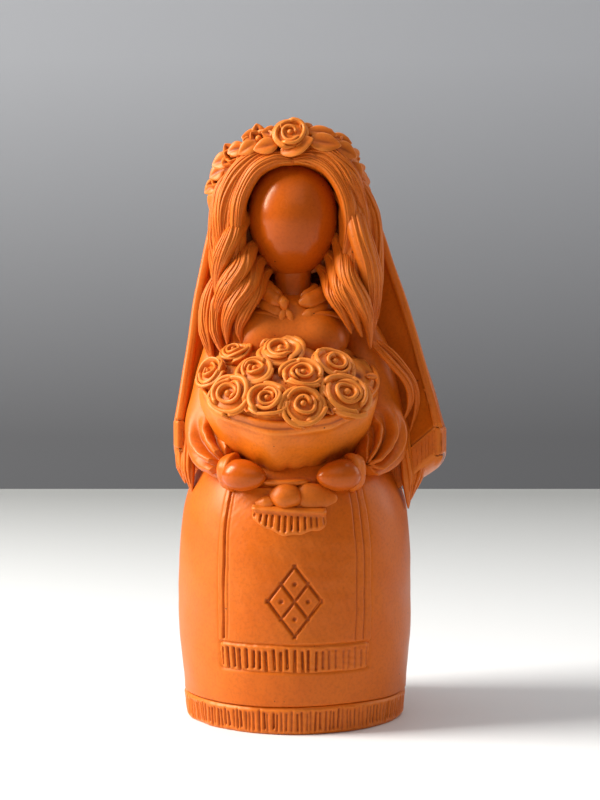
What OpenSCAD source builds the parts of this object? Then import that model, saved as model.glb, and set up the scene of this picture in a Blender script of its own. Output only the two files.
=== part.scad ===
// A standing faceless doll in a long skirt, an apron, a fringed veil and a flower wreath, holding a bouquet.
// The frame: the origin is the centre of the base, +Z is up and the doll faces -Y.

/* [Skirt] */
// Diameter of the flat base
base_d = 54.8; // [46:0.2:66]
// Largest diameter of the skirt, at the hips
hip_d = 58.8; // [49:0.2:71]
// Height of the hips above the base
hip_h = 34; // [26:0.5:42]
// Height of the skirt, up to the waist
skirt_h = 68; // [56:0.2:82]
// Diameter of the waist
waist_d = 26; // [22:0.5:31]
// Height of the notched band around the hem
hem_h = 7.2; // [5:0.1:10]
// Thickness of the hem band, the apron and the fringes
trim_t = 1.2; // [0.8:0.1:2]

/* [Apron] */
// Width of the apron
apron_w = 36.4; // [28:0.2:44]
// Height of the apron's lower edge, where its fringe starts
apron_low = 22.4; // [16:0.2:28]
// Distance from the waist down to the apron's upper edge
apron_drop = 8; // [5:0.5:16]
// Height of the apron's fringe
apron_fringe_h = 7.2; // [4:0.2:8]
// Width of the sign cut into the apron
sign_w = 13; // [8:0.5:20]
// Height of the sign
sign_h = 17; // [10:0.5:24]
// Depth of the sign's grooves
groove_depth = 0.7; // [0.4:0.1:1]

/* [Upper body] */
// Height of the bodice, from the waist to the neck
bodice_h = 37; // [31:0.2:45]
// Width across the shoulders
shoulder_w = 38; // [32:0.2:46]
// Diameter of the neck
neck_d = 9.8; // [8:0.1:12]
// Length of neck between the bodice and the chin
neck_h = 5.5; // [4:0.1:7]
// Largest thickness of a sleeve
sleeve_d = 12.8; // [10.6:0.2:15.4]

/* [Head] */
// Width of the head
head_w = 22.6; // [18.8:0.2:27.2]
// Height of the head, chin to crown
head_h = 28.4; // [24:0.2:32]
// Diameter of the round cap of hair over the crown
hair_d = 35; // [32:0.2:42]
// Thickness of the wreath's twisted band
wreath_t = 4.2; // [3.4:0.1:5.2]

/* [Veil] */
// Width of the veil at its lower corners
veil_w = 69; // [60:0.2:83]
// Depth that the veil's lower edge stands behind the hips
veil_ease = 1.2; // [0.8:0.1:4]
// Thickness of the veil along its free edges
veil_t = 2; // [1.4:0.1:3]
// Height of the veil's fringe
veil_fringe_h = 7.4; // [5:0.1:10]

/* [Bouquet] */
// Diameter of the wrap at its rim
wrap_d = 43.6; // [38:0.2:52.4]
// Depth of the wrap from its rim to its foot
wrap_h = 20; // [17:0.5:24]
// Thickness of the wrap's wall
wrap_t = 1.6; // [1.2:0.1:2.4]
// Forward tilt of the bouquet, in degrees
bouquet_tilt = 26; // [20:1:32]
// Height of the dome of flowers above the rim
dome_h = 7; // [5:0.5:9]
// Height of a rose
rose_h = 5; // [4:0.1:6]

/* [Fits] */
// Thickness of the glue line between pieces that seat on each other
glue = 0.05; // [0.02:0.01:0.1]

/* [Hidden] */
$fn = 48;
base_r = base_d / 2;
hip_r = hip_d / 2;
waist_r = waist_d / 2;
hair_r = hair_d / 2;
sleeve_r = sleeve_d / 2;
wrap_r = wrap_d / 2;
neck_r = neck_d / 2;
trim_proud = 0.4;
apron_high = skirt_h - apron_drop;
apron_angle = 2 * asin(apron_w / 2 / hip_r);
sign_z = apron_low + 10.6;
groove_w = 0.8;
neck_z = skirt_h + bodice_h;
shoulder_z = neck_z - 5.5;
shoulder_r = 6;
head_z = neck_z + neck_h + head_h / 2;
middle_x = -0.5;
head_at = [middle_x, -2, head_z];
hair_at = [middle_x, 2, head_z + 2.6];
neck_at = [middle_x, -1, neck_z];
collar_r = neck_r + 1.6;
collar_tube = 1.9;
collar_tilt = 20;
// The middle of the collar's roll at its front, where its two sides meet
collar_front = neck_at + [0, 0.4 - collar_r * cos(collar_tilt), collar_tube - collar_r * sin(collar_tilt)];
// The place and the thickness of roses and locks are drawn for a wrap and a cap of hair of these diameters
rose_scale = wrap_d / 43.6;
lock_scale = hair_d / 35;
// The forearms are drawn for this radius of the skirt at the wrists, and reach forward with it
drawn_reach = 23;
wrist_z = shoulder_z - 35.6;
wrist_x = wrap_r * 0.78;
wrap_lip = 0.6;
dome_r = wrap_r - wrap_t - glue;
dome_sphere = (dome_r * dome_r + dome_h * dome_h) / (2 * dome_h);
wreath_tilt = 50;
wreath_rise = 5;
wreath_reach = 188;
wreath_rose_h = 3.4;
wreath_r = sqrt(pow(hair_r + wreath_t / 4, 2) - wreath_rise * wreath_rise);
veil_crown_z = hair_at[2] + 2;
veil_crown_h = hair_r + 0.4;
veil_open = 104;
veil_low = skirt_h - 12;
veil_high_r = hair_r + 2.4;
veil_backing = 62;
veil_columns = 26;
veil_rows = 12;

// Each rose: across the bouquet, forward from its middle, radius
ROSES = [
    [-11.6, -2.0, 3.6],
    [-1.8, 1.0, 4.9],
    [10.1, 4.0, 4.6],
    [-17.2, 3.0, 3.4],
    [-7.4, 7.5, 3.9],
    [3.3, 9.3, 4.4],
    [-13.6, 12.4, 4.8],
    [-5.0, 15.7, 3.9],
    [3.9, 17.4, 4.4],
    [13.4, 12.4, 5.2]
];
// Each flower on the wreath: degrees round from the front, radius
WREATH_ROSES = [[0, 4], [-26, 2.9], [26, 3], [-51, 2.8], [51, 2.9], [-76, 2.9], [76, 2.9]];
// The middle line of the left sleeve from shoulder to wrist, counted from the shoulder's middle, and its
// thickness
SLEEVE = [
    [0, 0, 0, 0.9],
    [-3.2, -1, -6, 0.94],
    [-5, -2.4, -13, 0.98],
    [-5.8, -4.4, -20, 1],
    [-5.6, -7.6, -26, 1],
    [-4.6, -11.6, -30.5, 0.94],
    [-3.2, -15.4, -33.2, 0.82],
    [-1.6, -18.4, -34.8, 0.62],
    [-0.4, -20, -35.6, 0.5]
];
// The locks of hair on the left: points from the cap's middle, each with half a width and half a thickness
LOCKS_LEFT = [
    [[-2.6, -11, 15.2, 2.4, 2.4], [-8, -12.4, 10.5, 3.6, 3], [-12.4, -12, 2, 4, 3.6], [-14, -11, -8, 4.4, 4],
     [-13.4, -10.4, -17, 4.2, 4], [-12.8, -10.6, -25, 3.2, 3], [-14.8, -10.6, -33, 0.8, 0.8]],
    [[-7, -7.5, 14, 2.4, 2.4], [-14, -7, 8, 3.6, 3.4], [-17.4, -6, -2, 4, 4], [-18.4, -6, -12, 4.2, 4.2],
     [-18, -6.4, -21, 3, 3.4], [-19, -7, -31, 0.8, 0.8]],
    [[-15, 0, 6, 3.6, 4], [-17, -0.6, -6, 4.4, 4.6], [-17.4, -1.4, -16, 4, 4.6], [-16, -2.4, -26, 1.6, 2.4]]
];
LOCKS_RIGHT = [
    [[2.6, -11, 15.2, 2.4, 2.4], [8, -12.4, 10.5, 3.6, 3], [12.6, -12, 2, 4, 3.6], [14, -11, -8, 4.4, 4],
     [13.8, -10.4, -17, 4.4, 4], [15.2, -10.4, -25, 3.4, 3], [18.6, -9.6, -32, 0.8, 0.8]],
    [[7, -7.5, 14, 2.4, 2.4], [14, -7, 8, 3.6, 3.4], [17.2, -6, -2, 4, 4], [18, -6, -12, 4.2, 4.2],
     [18.4, -6.2, -21, 3, 3.4], [20.6, -6.6, -30, 0.8, 0.8]],
    [[15, 0, 6, 3.6, 4], [17, -0.6, -6, 4.4, 4.6], [17.4, -1.4, -16, 4, 4.6], [16.4, -2.4, -26, 1.6, 2.4]]
];
// Shades of the one orange-brown paint, which lie darker in deep work and lighter on raised trim
cloth = [0.78, 0.40, 0.14];
light_cloth = [0.84, 0.47, 0.19];
dark_cloth = [0.68, 0.33, 0.11];
skin = [0.80, 0.42, 0.15];

// The lists above hold what follows from no other size
arm_reach = skirt_r(wrist_z) / drawn_reach;
bouquet_at = [-1.5, -13 * arm_reach, skirt_h + 16.5];

// ---- Skirt and apron ----

// The skirt's radius at a height: a slow swell to the hips, then a full dome to the waist
function skirt_r(z) =
    z < hip_h
        ? base_r + (hip_r - base_r) * sin(90 * max(z, 0) / hip_h)
        : waist_r + (hip_r - waist_r) * pow(1 - pow(min((z - hip_h) / (skirt_h - hip_h), 1), 2.6), 1 / 2.6);

function skirt_line(low, high, grow, steps) =
    [for (i = [0:steps]) let (z = low + (high - low) * i / steps) [skirt_r(z) + grow, z]];

function reversed(list) = [for (i = [len(list) - 1:-1:0]) list[i]];

// A band on the skirt between two heights, from one distance outside its surface to another, centred on the
// front
module skirt_band(low, high, inner, outer, angle = 360, steps = 5) {
    rotate([0, 0, -90 - angle / 2])
        rotate_extrude(angle = angle, $fn = 96)
            polygon(concat(
                skirt_line(low, high, outer, steps),
                reversed(skirt_line(low, high, inner, steps))
            ));
}

// A prism with upright notches round it, which trims a band into a cut fringe
module notched_prism(low, high, radius, depth, count) {
    step = 360 / count;
    translate([0, 0, low])
        linear_extrude(high - low)
            polygon([
                for (i = [0:count - 1], k = [0:3])
                    let (a = step * (i + [0, 0.55, 0.7, 0.85][k]), r = radius - (k == 2 ? depth : 0))
                        [r * cos(a), r * sin(a)]
            ]);
}

// The skirt's outer shape, grown for what seats on it
module skirt_solid(grow = 0) {
    rotate_extrude($fn = 96)
        polygon(concat(
            [[0, 0]],
            [for (p = skirt_line(0, skirt_h, grow, 26)) [p[0], p[1] + (p[1] > hip_h ? grow : 0)]],
            [[0, skirt_h + grow]]
        ));
}

module skirt() {
    color(cloth)
        difference() {
            skirt_solid();
            skirt_band(-1, hem_h, trim_proud - trim_t - glue, trim_proud + 2);
            skirt_band(apron_low - apron_fringe_h - glue, apron_high + glue, trim_proud - trim_t - glue,
                trim_proud + 2, apron_angle + 0.2, 12);
        }
}

module hem_fringe() {
    color(dark_cloth)
        intersection() {
            skirt_band(0, hem_h - glue, trim_proud - trim_t, trim_proud, 360, 3);
            notched_prism(-1, hem_h + 1, hip_r + trim_proud, hip_r - skirt_r(hem_h / 2) + 0.7, 90);
        }
}

// The lines cut into the apron: a quartered lozenge with a dot in each field, and a line along each side
module apron_lines() {
    side_line = 0.6;
    stroke = sqrt(sign_w * sign_w + sign_h * sign_h) / 2 + groove_w;
    for (side = [-1, 1])
        translate([side * (apron_w / 2 - 2) - side_line / 2, -hip_r - 2, apron_low + 1])
            cube([side_line, hip_r, apron_high]);
    translate([0, -hip_r, sign_z]) {
        for (turn = [-1, 1], row = [-1, 0, 1])
            translate([row * sign_w / 4, 0, turn * row * sign_h / 4])
                rotate([0, turn * atan(sign_h / sign_w), 0])
                    cube([stroke, 6, groove_w], center = true);
        for (field = [[-1, 0], [1, 0], [0, -1], [0, 1]])
            translate([field[0] * sign_w / 4, 0, field[1] * sign_h / 4])
                rotate([90, 0, 0])
                    cylinder(d = groove_w * 1.5, h = 6, center = true, $fn = 24);
    }
}

module apron() {
    deep = trim_proud - groove_depth;
    color(light_cloth)
        difference() {
            skirt_band(apron_low, apron_high, trim_proud - trim_t, trim_proud, apron_angle, 10);
            intersection() {
                skirt_band(apron_low - 1, apron_high + 1, deep, trim_proud + 2, apron_angle + 10, 12);
                apron_lines();
            }
        }
}

module apron_fringe() {
    color(light_cloth)
        intersection() {
            skirt_band(apron_low - apron_fringe_h, apron_low - glue, trim_proud - trim_t, trim_proud,
                apron_angle);
            notched_prism(0, apron_low, hip_r + trim_proud, 1.1, 90);
        }
}

// ---- Bodice, neck and head ----

module bodice_solid(grow = 0) {
    bust_z = neck_z - 10;
    rotate_extrude()
        polygon([
            [0, skirt_h + glue - grow],
            [waist_r - 0.6 + grow, skirt_h + glue - grow],
            [waist_r - 0.2 + grow, skirt_h + bodice_h * 0.4],
            [waist_r + grow, skirt_h + bodice_h * 0.7],
            [neck_r + 3 + grow, neck_z - 2 + grow],
            [neck_r + 0.6 + grow, neck_z + grow],
            [0, neck_z + grow]
        ]);
    for (side = [-1, 1]) {
        translate([middle_x + side * 6, -6.6, bust_z])
            sphere(7.2 + grow);
        translate([side * (shoulder_w / 2 - shoulder_r), 0, shoulder_z])
            sphere(shoulder_r + grow);
    }
    translate([0, 0, shoulder_z])
        rotate([0, 90, 0])
            cylinder(r = shoulder_r + grow, h = shoulder_w - 2 * shoulder_r, center = true);
}

module bodice() {
    color(cloth)
        bodice_solid();
}

// A solid of revolution like an egg, its narrow end down
module egg(width, height, grow = 0, steps = 20) {
    rotate_extrude()
        polygon([
            for (i = [0:steps])
                let (a = 180 * i / steps, wide = (width / 2) * (1 + 0.1 * cos(a)) + grow)
                    [i == 0 || i == steps ? 0 : wide * sin(a), (height / 2 + grow) * cos(a)]
        ]);
}

module head_solid(grow = 0) {
    translate(head_at)
        egg(head_w, head_h, grow);
}

module head() {
    color(skin)
        head_solid();
}

module neck_solid(grow = 0) {
    translate(neck_at + [0, 0, glue - grow])
        cylinder(r = neck_r + grow, h = neck_h + head_h / 4);
}

module neck() {
    color(skin)
        difference() {
            neck_solid();
            head_solid(glue);
            bodice_solid(glue);
        }
}

module collar_ring(grow = 0, angle = 360) {
    translate(neck_at + [0, 0.4, collar_tube])
        rotate([collar_tilt, 0, 0])
            rotate([0, 0, 90 - angle / 2])
                rotate_extrude(angle = angle)
                    translate([collar_r, 0])
                        circle(collar_tube + grow, $fn = 24);
}

module collar(side) {
    color(light_cloth)
        difference() {
            intersection() {
                collar_ring();
                translate([middle_x + side * (20 + glue / 2), 0, neck_z])
                    cube(40, center = true);
            }
            bodice_solid(glue);
            neck_solid(glue);
        }
}

module collar_left() {
    collar(-1);
}

module collar_right() {
    collar(1);
}

module collar_knot() {
    color(light_cloth)
        difference() {
            translate(collar_front + [0, -collar_tube * 0.6, -collar_tube * 0.6])
                sphere(collar_tube);
            translate(collar_front)
                rotate([0, 90, 0])
                    cylinder(r = collar_tube + glue, h = 4 * collar_tube, center = true);
            bodice_solid(glue);
        }
}

// ---- Hair ----

module hair_cap(grow = 0) {
    translate(hair_at)
        sphere(hair_r + grow);
}

module hair_crown() {
    face_w = head_w - 1.4;
    color(dark_cloth)
        difference() {
            hair_cap();
            head_solid(glue);
            neck_solid(glue);
            bodice_solid(glue);
            collar_ring(glue);
            // The opening for the face: a slot with round ends, cut from the front to the middle of the head
            translate([head_at[0], head_at[1], head_z])
                rotate([90, 0, 0])
                    linear_extrude(40) {
                        translate([0, 2])
                            circle(face_w / 2);
                        translate([0, -face_w])
                            square([face_w, 2 * face_w + 4], center = true);
                    }
        }
}

// A rounded bead: the hull of two neighbouring beads is one stretch of a lock or a fold
module bead(point, grow = 0, sides = 8) {
    translate([point[0], point[1], point[2]])
        scale([point[3] + grow, point[4] + grow, max(point[3], point[4]) + grow])
            sphere(1, $fn = sides);
}

module bead_chain(points, grow = 0, sides = 8) {
    for (i = [0:len(points) - 2])
        hull() {
            bead(points[i], grow, sides);
            bead(points[i + 1], grow, sides);
        }
}

module locks(list, grow = 0) {
    translate(hair_at)
        for (lock = list)
            bead_chain([for (p = lock) [p[0] * lock_scale, p[1] * lock_scale, p[2], p[3], p[4]]], grow);
}

module hair_side(list, side) {
    color(dark_cloth)
        difference() {
            locks(list);
            hair_cap(glue);
            wreath_solid(glue);
            head_solid(glue);
            neck_solid(glue);
            bodice_solid(glue);
            collar_ring(glue);
            sleeve_solid(side, glue);
        }
}

module hair_left() {
    hair_side(LOCKS_LEFT, -1);
}

module hair_right() {
    hair_side(LOCKS_RIGHT, 1);
}

// ---- Sleeves, cuffs and hands ----

function sleeve_points(side) = [
    for (i = [0:len(SLEEVE) - 1])
        let (
            p = SLEEVE[i],
            to_wrist = pow(i / (len(SLEEVE) - 1), 2),
            x = (shoulder_w / 2 - shoulder_r) * (1 - to_wrist) + wrist_x * to_wrist,
            lean = side > 0 ? 0.6 - 2.2 * to_wrist : 0
        )
        [side * (x - p[0] + lean), p[1] * arm_reach, shoulder_z + p[2], sleeve_r * p[3], sleeve_r * p[3]]
];

module sleeve_solid(side, grow = 0) {
    bead_chain(sleeve_points(side), grow, 16);
}

// Puts its children at the wrist, with +Z pointing along the forearm to the hand
module at_wrist(side) {
    points = sleeve_points(side);
    end = points[len(points) - 1];
    translate([end[0], end[1], end[2]])
        rotate([0, 0, side < 0 ? -42 : 222])
            rotate([0, 96, 0])
                children();
}

module cuff_solid(side, grow = 0) {
    at_wrist(side)
        rotate_extrude()
            polygon([
                [0, 0.4 - grow],
                [sleeve_r * 0.5 + grow, 0.4 - grow],
                [sleeve_r * 0.62 + grow, 1.4],
                [sleeve_r * 0.56 + grow, 2.8 + grow],
                [0, 2.8 + grow]
            ]);
}

module hand_solid(side, grow = 0) {
    at_wrist(side)
        translate([0, 0, 6.6])
            egg(7.6, 10.4, grow, 14);
}

module sleeve(side) {
    color(cloth)
        difference() {
            sleeve_solid(side);
            bodice_solid(glue);
            skirt_solid(glue);
            bouquet_body(glue);
            cuff_solid(side, glue);
            hand_solid(side, glue);
        }
}

module sleeve_left() {
    sleeve(-1);
}

module sleeve_right() {
    sleeve(1);
}

module cuff(side) {
    color(light_cloth)
        difference() {
            cuff_solid(side);
            hand_solid(side, glue);
            bouquet_body(glue);
            skirt_solid(trim_proud + glue);
        }
}

module cuff_left() {
    cuff(-1);
}

module cuff_right() {
    cuff(1);
}

module hand(side) {
    color(skin)
        difference() {
            hand_solid(side);
            bouquet_body(glue);
            skirt_solid(trim_proud + glue);
        }
}

module hand_left() {
    hand(-1);
}

module hand_right() {
    hand(1);
}

// ---- Bouquet ----

// Puts its children in the bouquet's own frame: the rim's centre, +Z out of the flowers
module at_bouquet() {
    translate(bouquet_at)
        rotate([bouquet_tilt, 0, 0])
            children();
}

function wrap_line(grow) = [
    for (i = [0:8])
        let (a = 90 * i / 8)
            [wrap_r * 0.36 + wrap_r * 0.64 * sin(a) + grow, -wrap_h * cos(a)]
];

// The whole bouquet without its roses, grown for what seats on it
module bouquet_body(grow = 0) {
    at_bouquet() {
        rotate_extrude($fn = 64)
            polygon(concat([[0, -wrap_h - grow], [wrap_r * 0.36 + grow, -wrap_h - grow]], wrap_line(grow),
                [[wrap_r + grow + 0.3, wrap_lip + grow], [0, wrap_lip + grow]]));
        dome(grow);
    }
}

module bouquet_wrap() {
    color(light_cloth)
        difference() {
            at_bouquet()
                rotate_extrude($fn = 64)
                    polygon(concat(wrap_line(0), [[wrap_r + 0.3, wrap_lip], [wrap_r - wrap_t, wrap_lip]],
                        reversed(wrap_line(-wrap_t)), [[0, -wrap_h + wrap_t], [0, -wrap_h]]));
            bodice_solid(glue);
            skirt_solid(glue);
        }
}

// The dome's outline from its rim up to its top
function dome_line(grow) =
    let (edge = asin(dome_r / dome_sphere), r = dome_sphere + grow)
    [for (i = [8:-1:0]) let (a = edge * i / 8) [r * sin(a), r * cos(a) + dome_h - dome_sphere]];

module dome(grow = 0) {
    rotate_extrude($fn = 64)
        polygon(concat([[0, -1], [dome_line(grow)[0][0], -1]], dome_line(grow)));
}

module bouquet_filling() {
    foot = -wrap_h + wrap_t + glue;
    color(dark_cloth)
        difference() {
            at_bouquet()
                rotate_extrude($fn = 64)
                    polygon(concat(
                        [[0, foot]],
                        [for (p = wrap_line(-wrap_t - glue)) [p[0], max(p[1], foot)]],
                        [for (i = [1:8]) dome_line(0)[i]]
                    ));
            bodice_solid(glue);
            skirt_solid(glue);
        }
}

// An open rose: nested rings of petals round a bud, narrow at the foot, standing on z = 0
module rose(radius, height) {
    for (k = [0:2])
        let (outer = radius * (1 - 0.31 * k), wall = radius * 0.15, top = height * (0.86 + 0.07 * k))
            rotate_extrude($fn = 32)
                polygon([[0, -1], [outer * 0.55, -1], [outer, top * 0.75], [outer * 0.95, top],
                    [outer - wall, top], [outer - 1.6 * wall, top * 0.7], [0, top * 0.62]]);
}

module rose_at(index) {
    place = ROSES[index - 1] * rose_scale;
    color(light_cloth)
        difference() {
            at_bouquet()
                translate([0, 0, dome_h - dome_sphere])
                    rotate([asin(place[1] / dome_sphere), asin(place[0] / dome_sphere), 0])
                        translate([0, 0, dome_sphere])
                            rose(place[2], rose_h);
            bouquet_body(glue);
            bodice_solid(glue);
        }
}

module bouquet_ribbon() {
    ribbon_low = apron_high - 11.2;
    inner = trim_proud + glue;
    color(light_cloth)
        difference() {
            intersection() {
                rotate([0, 0, -3])
                    skirt_band(ribbon_low, ribbon_low + 8, inner, inner + trim_t, 37, 4);
                notched_prism(ribbon_low - 1, ribbon_low + 9, hip_r + trim_proud + trim_t, 1.3, 100);
            }
            bouquet_knot_solid(glue);
        }
}

module bouquet_knot_solid(grow = 0) {
    translate([bouquet_at[0], -skirt_r(apron_high - 1.6) - 0.6, apron_high - 1])
        rotate([0, 90, 0])
            egg(6.4, 8.6, grow, 14);
}

module bouquet_knot() {
    color(light_cloth)
        difference() {
            bouquet_knot_solid();
            skirt_solid(trim_proud + glue);
            bouquet_body(glue);
        }
}

// ---- Wreath ----

// Puts its children on the wreath's own plane, which tips up at the front
module at_wreath() {
    translate(hair_at)
        rotate([-wreath_tilt, 0, 0])
            translate([0, 0, wreath_rise])
                children();
}

module wreath_solid(grow = 0) {
    at_wreath()
        rotate([0, 0, 270 - wreath_reach / 2])
            rotate_extrude(angle = wreath_reach)
                translate([wreath_r, 0])
                    circle(wreath_t / 2 + grow, $fn = 32);
}

module wreath_band() {
    color(dark_cloth)
        difference() {
            wreath_solid();
            hair_cap(glue);
        }
}

// Puts its children on the band's outer side, with +Z pointing outwards and a little up
module on_wreath(angle) {
    at_wreath()
        rotate([0, 0, 270 + angle])
            translate([wreath_r, 0, 0])
                rotate([0, 58, 0])
                    translate([0, 0, wreath_t * 0.3])
                        children();
}

module wreath_rose_at(index) {
    flower = WREATH_ROSES[index - 1];
    color(light_cloth)
        difference() {
            on_wreath(flower[0])
                rose(flower[1], wreath_rose_h);
            wreath_solid(glue);
            hair_cap(glue);
        }
}

// Round petals that stand edge to edge with the flowers, half sunk in the band
module wreath_leaves() {
    petal_t = 1.3;
    petal_r = wreath_r * 0.146;
    color(dark_cloth)
        difference() {
            for (i = [1:len(WREATH_ROSES) - 1])
                let (a = WREATH_ROSES[i][0], step = a > 0 ? -13 : 13)
                    on_wreath(a + step)
                        translate([0, 0, 1])
                            rotate([90, 0, 0])
                                cylinder(r = petal_r, h = petal_t, center = true);
            wreath_solid(glue);
            hair_cap(glue);
        }
}

// ---- Veil ----

function smooth_step(x) = let (t = min(max(x, 0), 1)) t * t * (3 - 2 * t);

// How far out the veil stands from its upright middle line: angle from the back, share of the way down
function veil_r(a, down) =
    let (
        corner = veil_w / 2 + (a > 0 ? 3.8 : -3.8),
        wide = veil_high_r + (corner - veil_high_r) * pow(down, 0.9),
        deep_low = skirt_r(veil_low) + veil_ease + veil_t,
        deep = veil_high_r - 2 + (deep_low - veil_high_r + 2) * down
    )
    1 / sqrt(pow(sin(a) / wide, 2) + pow(cos(a) / deep, 2));

// The height of the fringe's lower edge: level behind, higher at the front corners
function veil_hem(a) = veil_low + 10 * smooth_step((abs(a) - 58) / 40);

// The veil is solid against the doll's back, and a thin wall towards its free edges
function veil_inset(a) =
    let (free = smooth_step((abs(a) - veil_backing) / 14))
        veil_t * free + (veil_high_r - 9) * (1 - free);

function veil_point(column, t, inside) =
    let (
        crown_part = 0.35,
        down = max(t - crown_part, 0) / (1 - crown_part),
        a = veil_open * column * (0.8 + 0.2 * down),
        inset = inside * veil_inset(a),
        round = 90 * min(t / crown_part, 1),
        r = (veil_r(a, down) - inset) * sin(round),
        edge = veil_hem(a) + veil_fringe_h,
        z = veil_crown_z + (veil_crown_h - inset) * cos(round) - down * (veil_crown_z - edge)
    )
    [hair_at[0] + r * sin(a), hair_at[1] * (1 - down) + r * cos(a), z];

// A closed wall from rows of outer points and rows of inner points, all joined at one crown point each
module veil_wall() {
    c = veil_columns;
    r = veil_rows;
    side_points = (c + 1) * r;
    function point_index(layer, i, j) = layer * (side_points + 1) + 1 + i * r + j - 1;
    points = [
        for (layer = [0, 1])
            each concat(
                [veil_point(0, 0, layer)],
                [for (i = [0:c], j = [1:r]) veil_point(2 * i / c - 1, j / r, layer)]
            )
    ];
    outer = [for (i = [0:c - 1]) each concat(
        [[0, point_index(0, i, 1), point_index(0, i + 1, 1)]],
        [for (j = [1:r - 1]) [point_index(0, i, j), point_index(0, i, j + 1), point_index(0, i + 1, j + 1)]],
        [for (j = [1:r - 1]) [point_index(0, i, j), point_index(0, i + 1, j + 1), point_index(0, i + 1, j)]]
    )];
    inner = [for (i = [0:c - 1]) each concat(
        [[side_points + 1, point_index(1, i + 1, 1), point_index(1, i, 1)]],
        [for (j = [1:r - 1]) [point_index(1, i, j), point_index(1, i + 1, j + 1), point_index(1, i, j + 1)]],
        [for (j = [1:r - 1]) [point_index(1, i, j), point_index(1, i + 1, j), point_index(1, i + 1, j + 1)]]
    )];
    hem = [for (i = [0:c - 1]) each [
        [point_index(0, i, r), point_index(1, i, r), point_index(1, i + 1, r)],
        [point_index(0, i, r), point_index(1, i + 1, r), point_index(0, i + 1, r)]
    ]];
    edges = [for (end = [0, c]) let (flip = end > 0) each concat(
        [for (f = [
                [0, side_points + 1, point_index(1, end, 1)],
                [0, point_index(1, end, 1), point_index(0, end, 1)]
            ])
            flip ? reversed(f) : f],
        [for (j = [1:r - 1], k = [0, 1])
            let (f = k == 0
                ? [point_index(0, end, j), point_index(1, end, j), point_index(1, end, j + 1)]
                : [point_index(0, end, j), point_index(1, end, j + 1), point_index(0, end, j + 1)])
            flip ? reversed(f) : f]
    )];
    polyhedron(points, concat(outer, inner, hem, edges));
}

// The rolled edge down one side of the veil, from the crown to the front corner
module veil_edge(side) {
    points = [for (j = [3:2:veil_rows]) each [
        let (o = veil_point(side, j / veil_rows, 0), n = veil_point(side, j / veil_rows, 1))
            concat((o + n) / 2, [veil_t * 0.6, veil_t * 0.6])
    ]];
    bead_chain(points);
}

module body_behind_veil() {
    hair_cap(glue);
    head_solid(glue);
    neck_solid(glue);
    bodice_solid(glue);
    skirt_solid(glue);
    wreath_solid(glue);
    for (flower = WREATH_ROSES)
        on_wreath(flower[0])
            cylinder(r = flower[1] + glue, h = wreath_rose_h + glue);
    collar_ring(glue);
    for (side = [-1, 1])
        sleeve_solid(side, glue);
    locks(LOCKS_LEFT, glue);
    locks(LOCKS_RIGHT, glue);
    bouquet_body(glue);
}

module veil() {
    color(cloth)
        difference() {
            union() {
                veil_wall();
                veil_edge(-1);
                veil_edge(1);
            }
            body_behind_veil();
        }
}

// The fringe below the veil: a bead along its upper line and cut strands hanging under it
module veil_fringe() {
    count = 58;
    heights = [0.1, veil_fringe_h - 0.1 - 2 * glue];
    color(light_cloth)
        difference() {
            for (i = [0:count - 1])
                let (
                    a0 = veil_open * (2 * i / count - 1),
                    a1 = veil_open * (2 * (i + 0.72) / count - 1)
                )
                hull() {
                    for (a = [a0, a1], up = heights, inset = [0.1, 1.2 * veil_t])
                        let (r = veil_r(a, 1) - inset)
                            translate([hair_at[0] + r * sin(a), r * cos(a), veil_hem(a) + up])
                                cube(0.2, center = true);
                }
            body_behind_veil();
        }
}

module veil_fold_solid(side, grow = 0) {
    top = shoulder_z - 7;
    low = skirt_h - 14;
    top_x = shoulder_w / 2 - shoulder_r + 2.4 + sleeve_r;
    low_x = skirt_r(low) - 2.9 + (side > 0 ? 1.6 : 0);
    points = [for (i = [0:8])
        let (t = i / 8, to_foot = 1 - pow(1 - t, 3))
            [side * (top_x + (low_x - top_x) * to_foot), -2 - 7 * sin(90 * t), top + (low - top) * t,
             1.6 + 1.6 * sin(150 * t), 1.5]
    ];
    bead_chain(points, grow);
}

module veil_fold(side) {
    color(cloth)
        difference() {
            veil_fold_solid(side);
            skirt_solid(glue);
            sleeve_solid(side, glue);
            bodice_solid(glue);
            bouquet_body(glue);
            veil_wall();
            locks(side < 0 ? LOCKS_LEFT : LOCKS_RIGHT, glue);
        }
}

module veil_fold_left() {
    veil_fold(-1);
}

module veil_fold_right() {
    veil_fold(1);
}

skirt();
hem_fringe();
apron();
apron_fringe();
bodice();
neck();
head();
collar_left();
collar_right();
collar_knot();
hair_crown();
hair_left();
hair_right();
veil();
veil_fringe();
veil_fold_left();
veil_fold_right();
wreath_band();
wreath_leaves();
sleeve_left();
sleeve_right();
cuff_left();
cuff_right();
hand_left();
hand_right();
bouquet_wrap();
bouquet_filling();
bouquet_knot();
bouquet_ribbon();
for (i = [1:len(ROSES)])
    rose_at(i);
for (i = [1:len(WREATH_ROSES)])
    wreath_rose_at(i);
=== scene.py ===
import math

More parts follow.
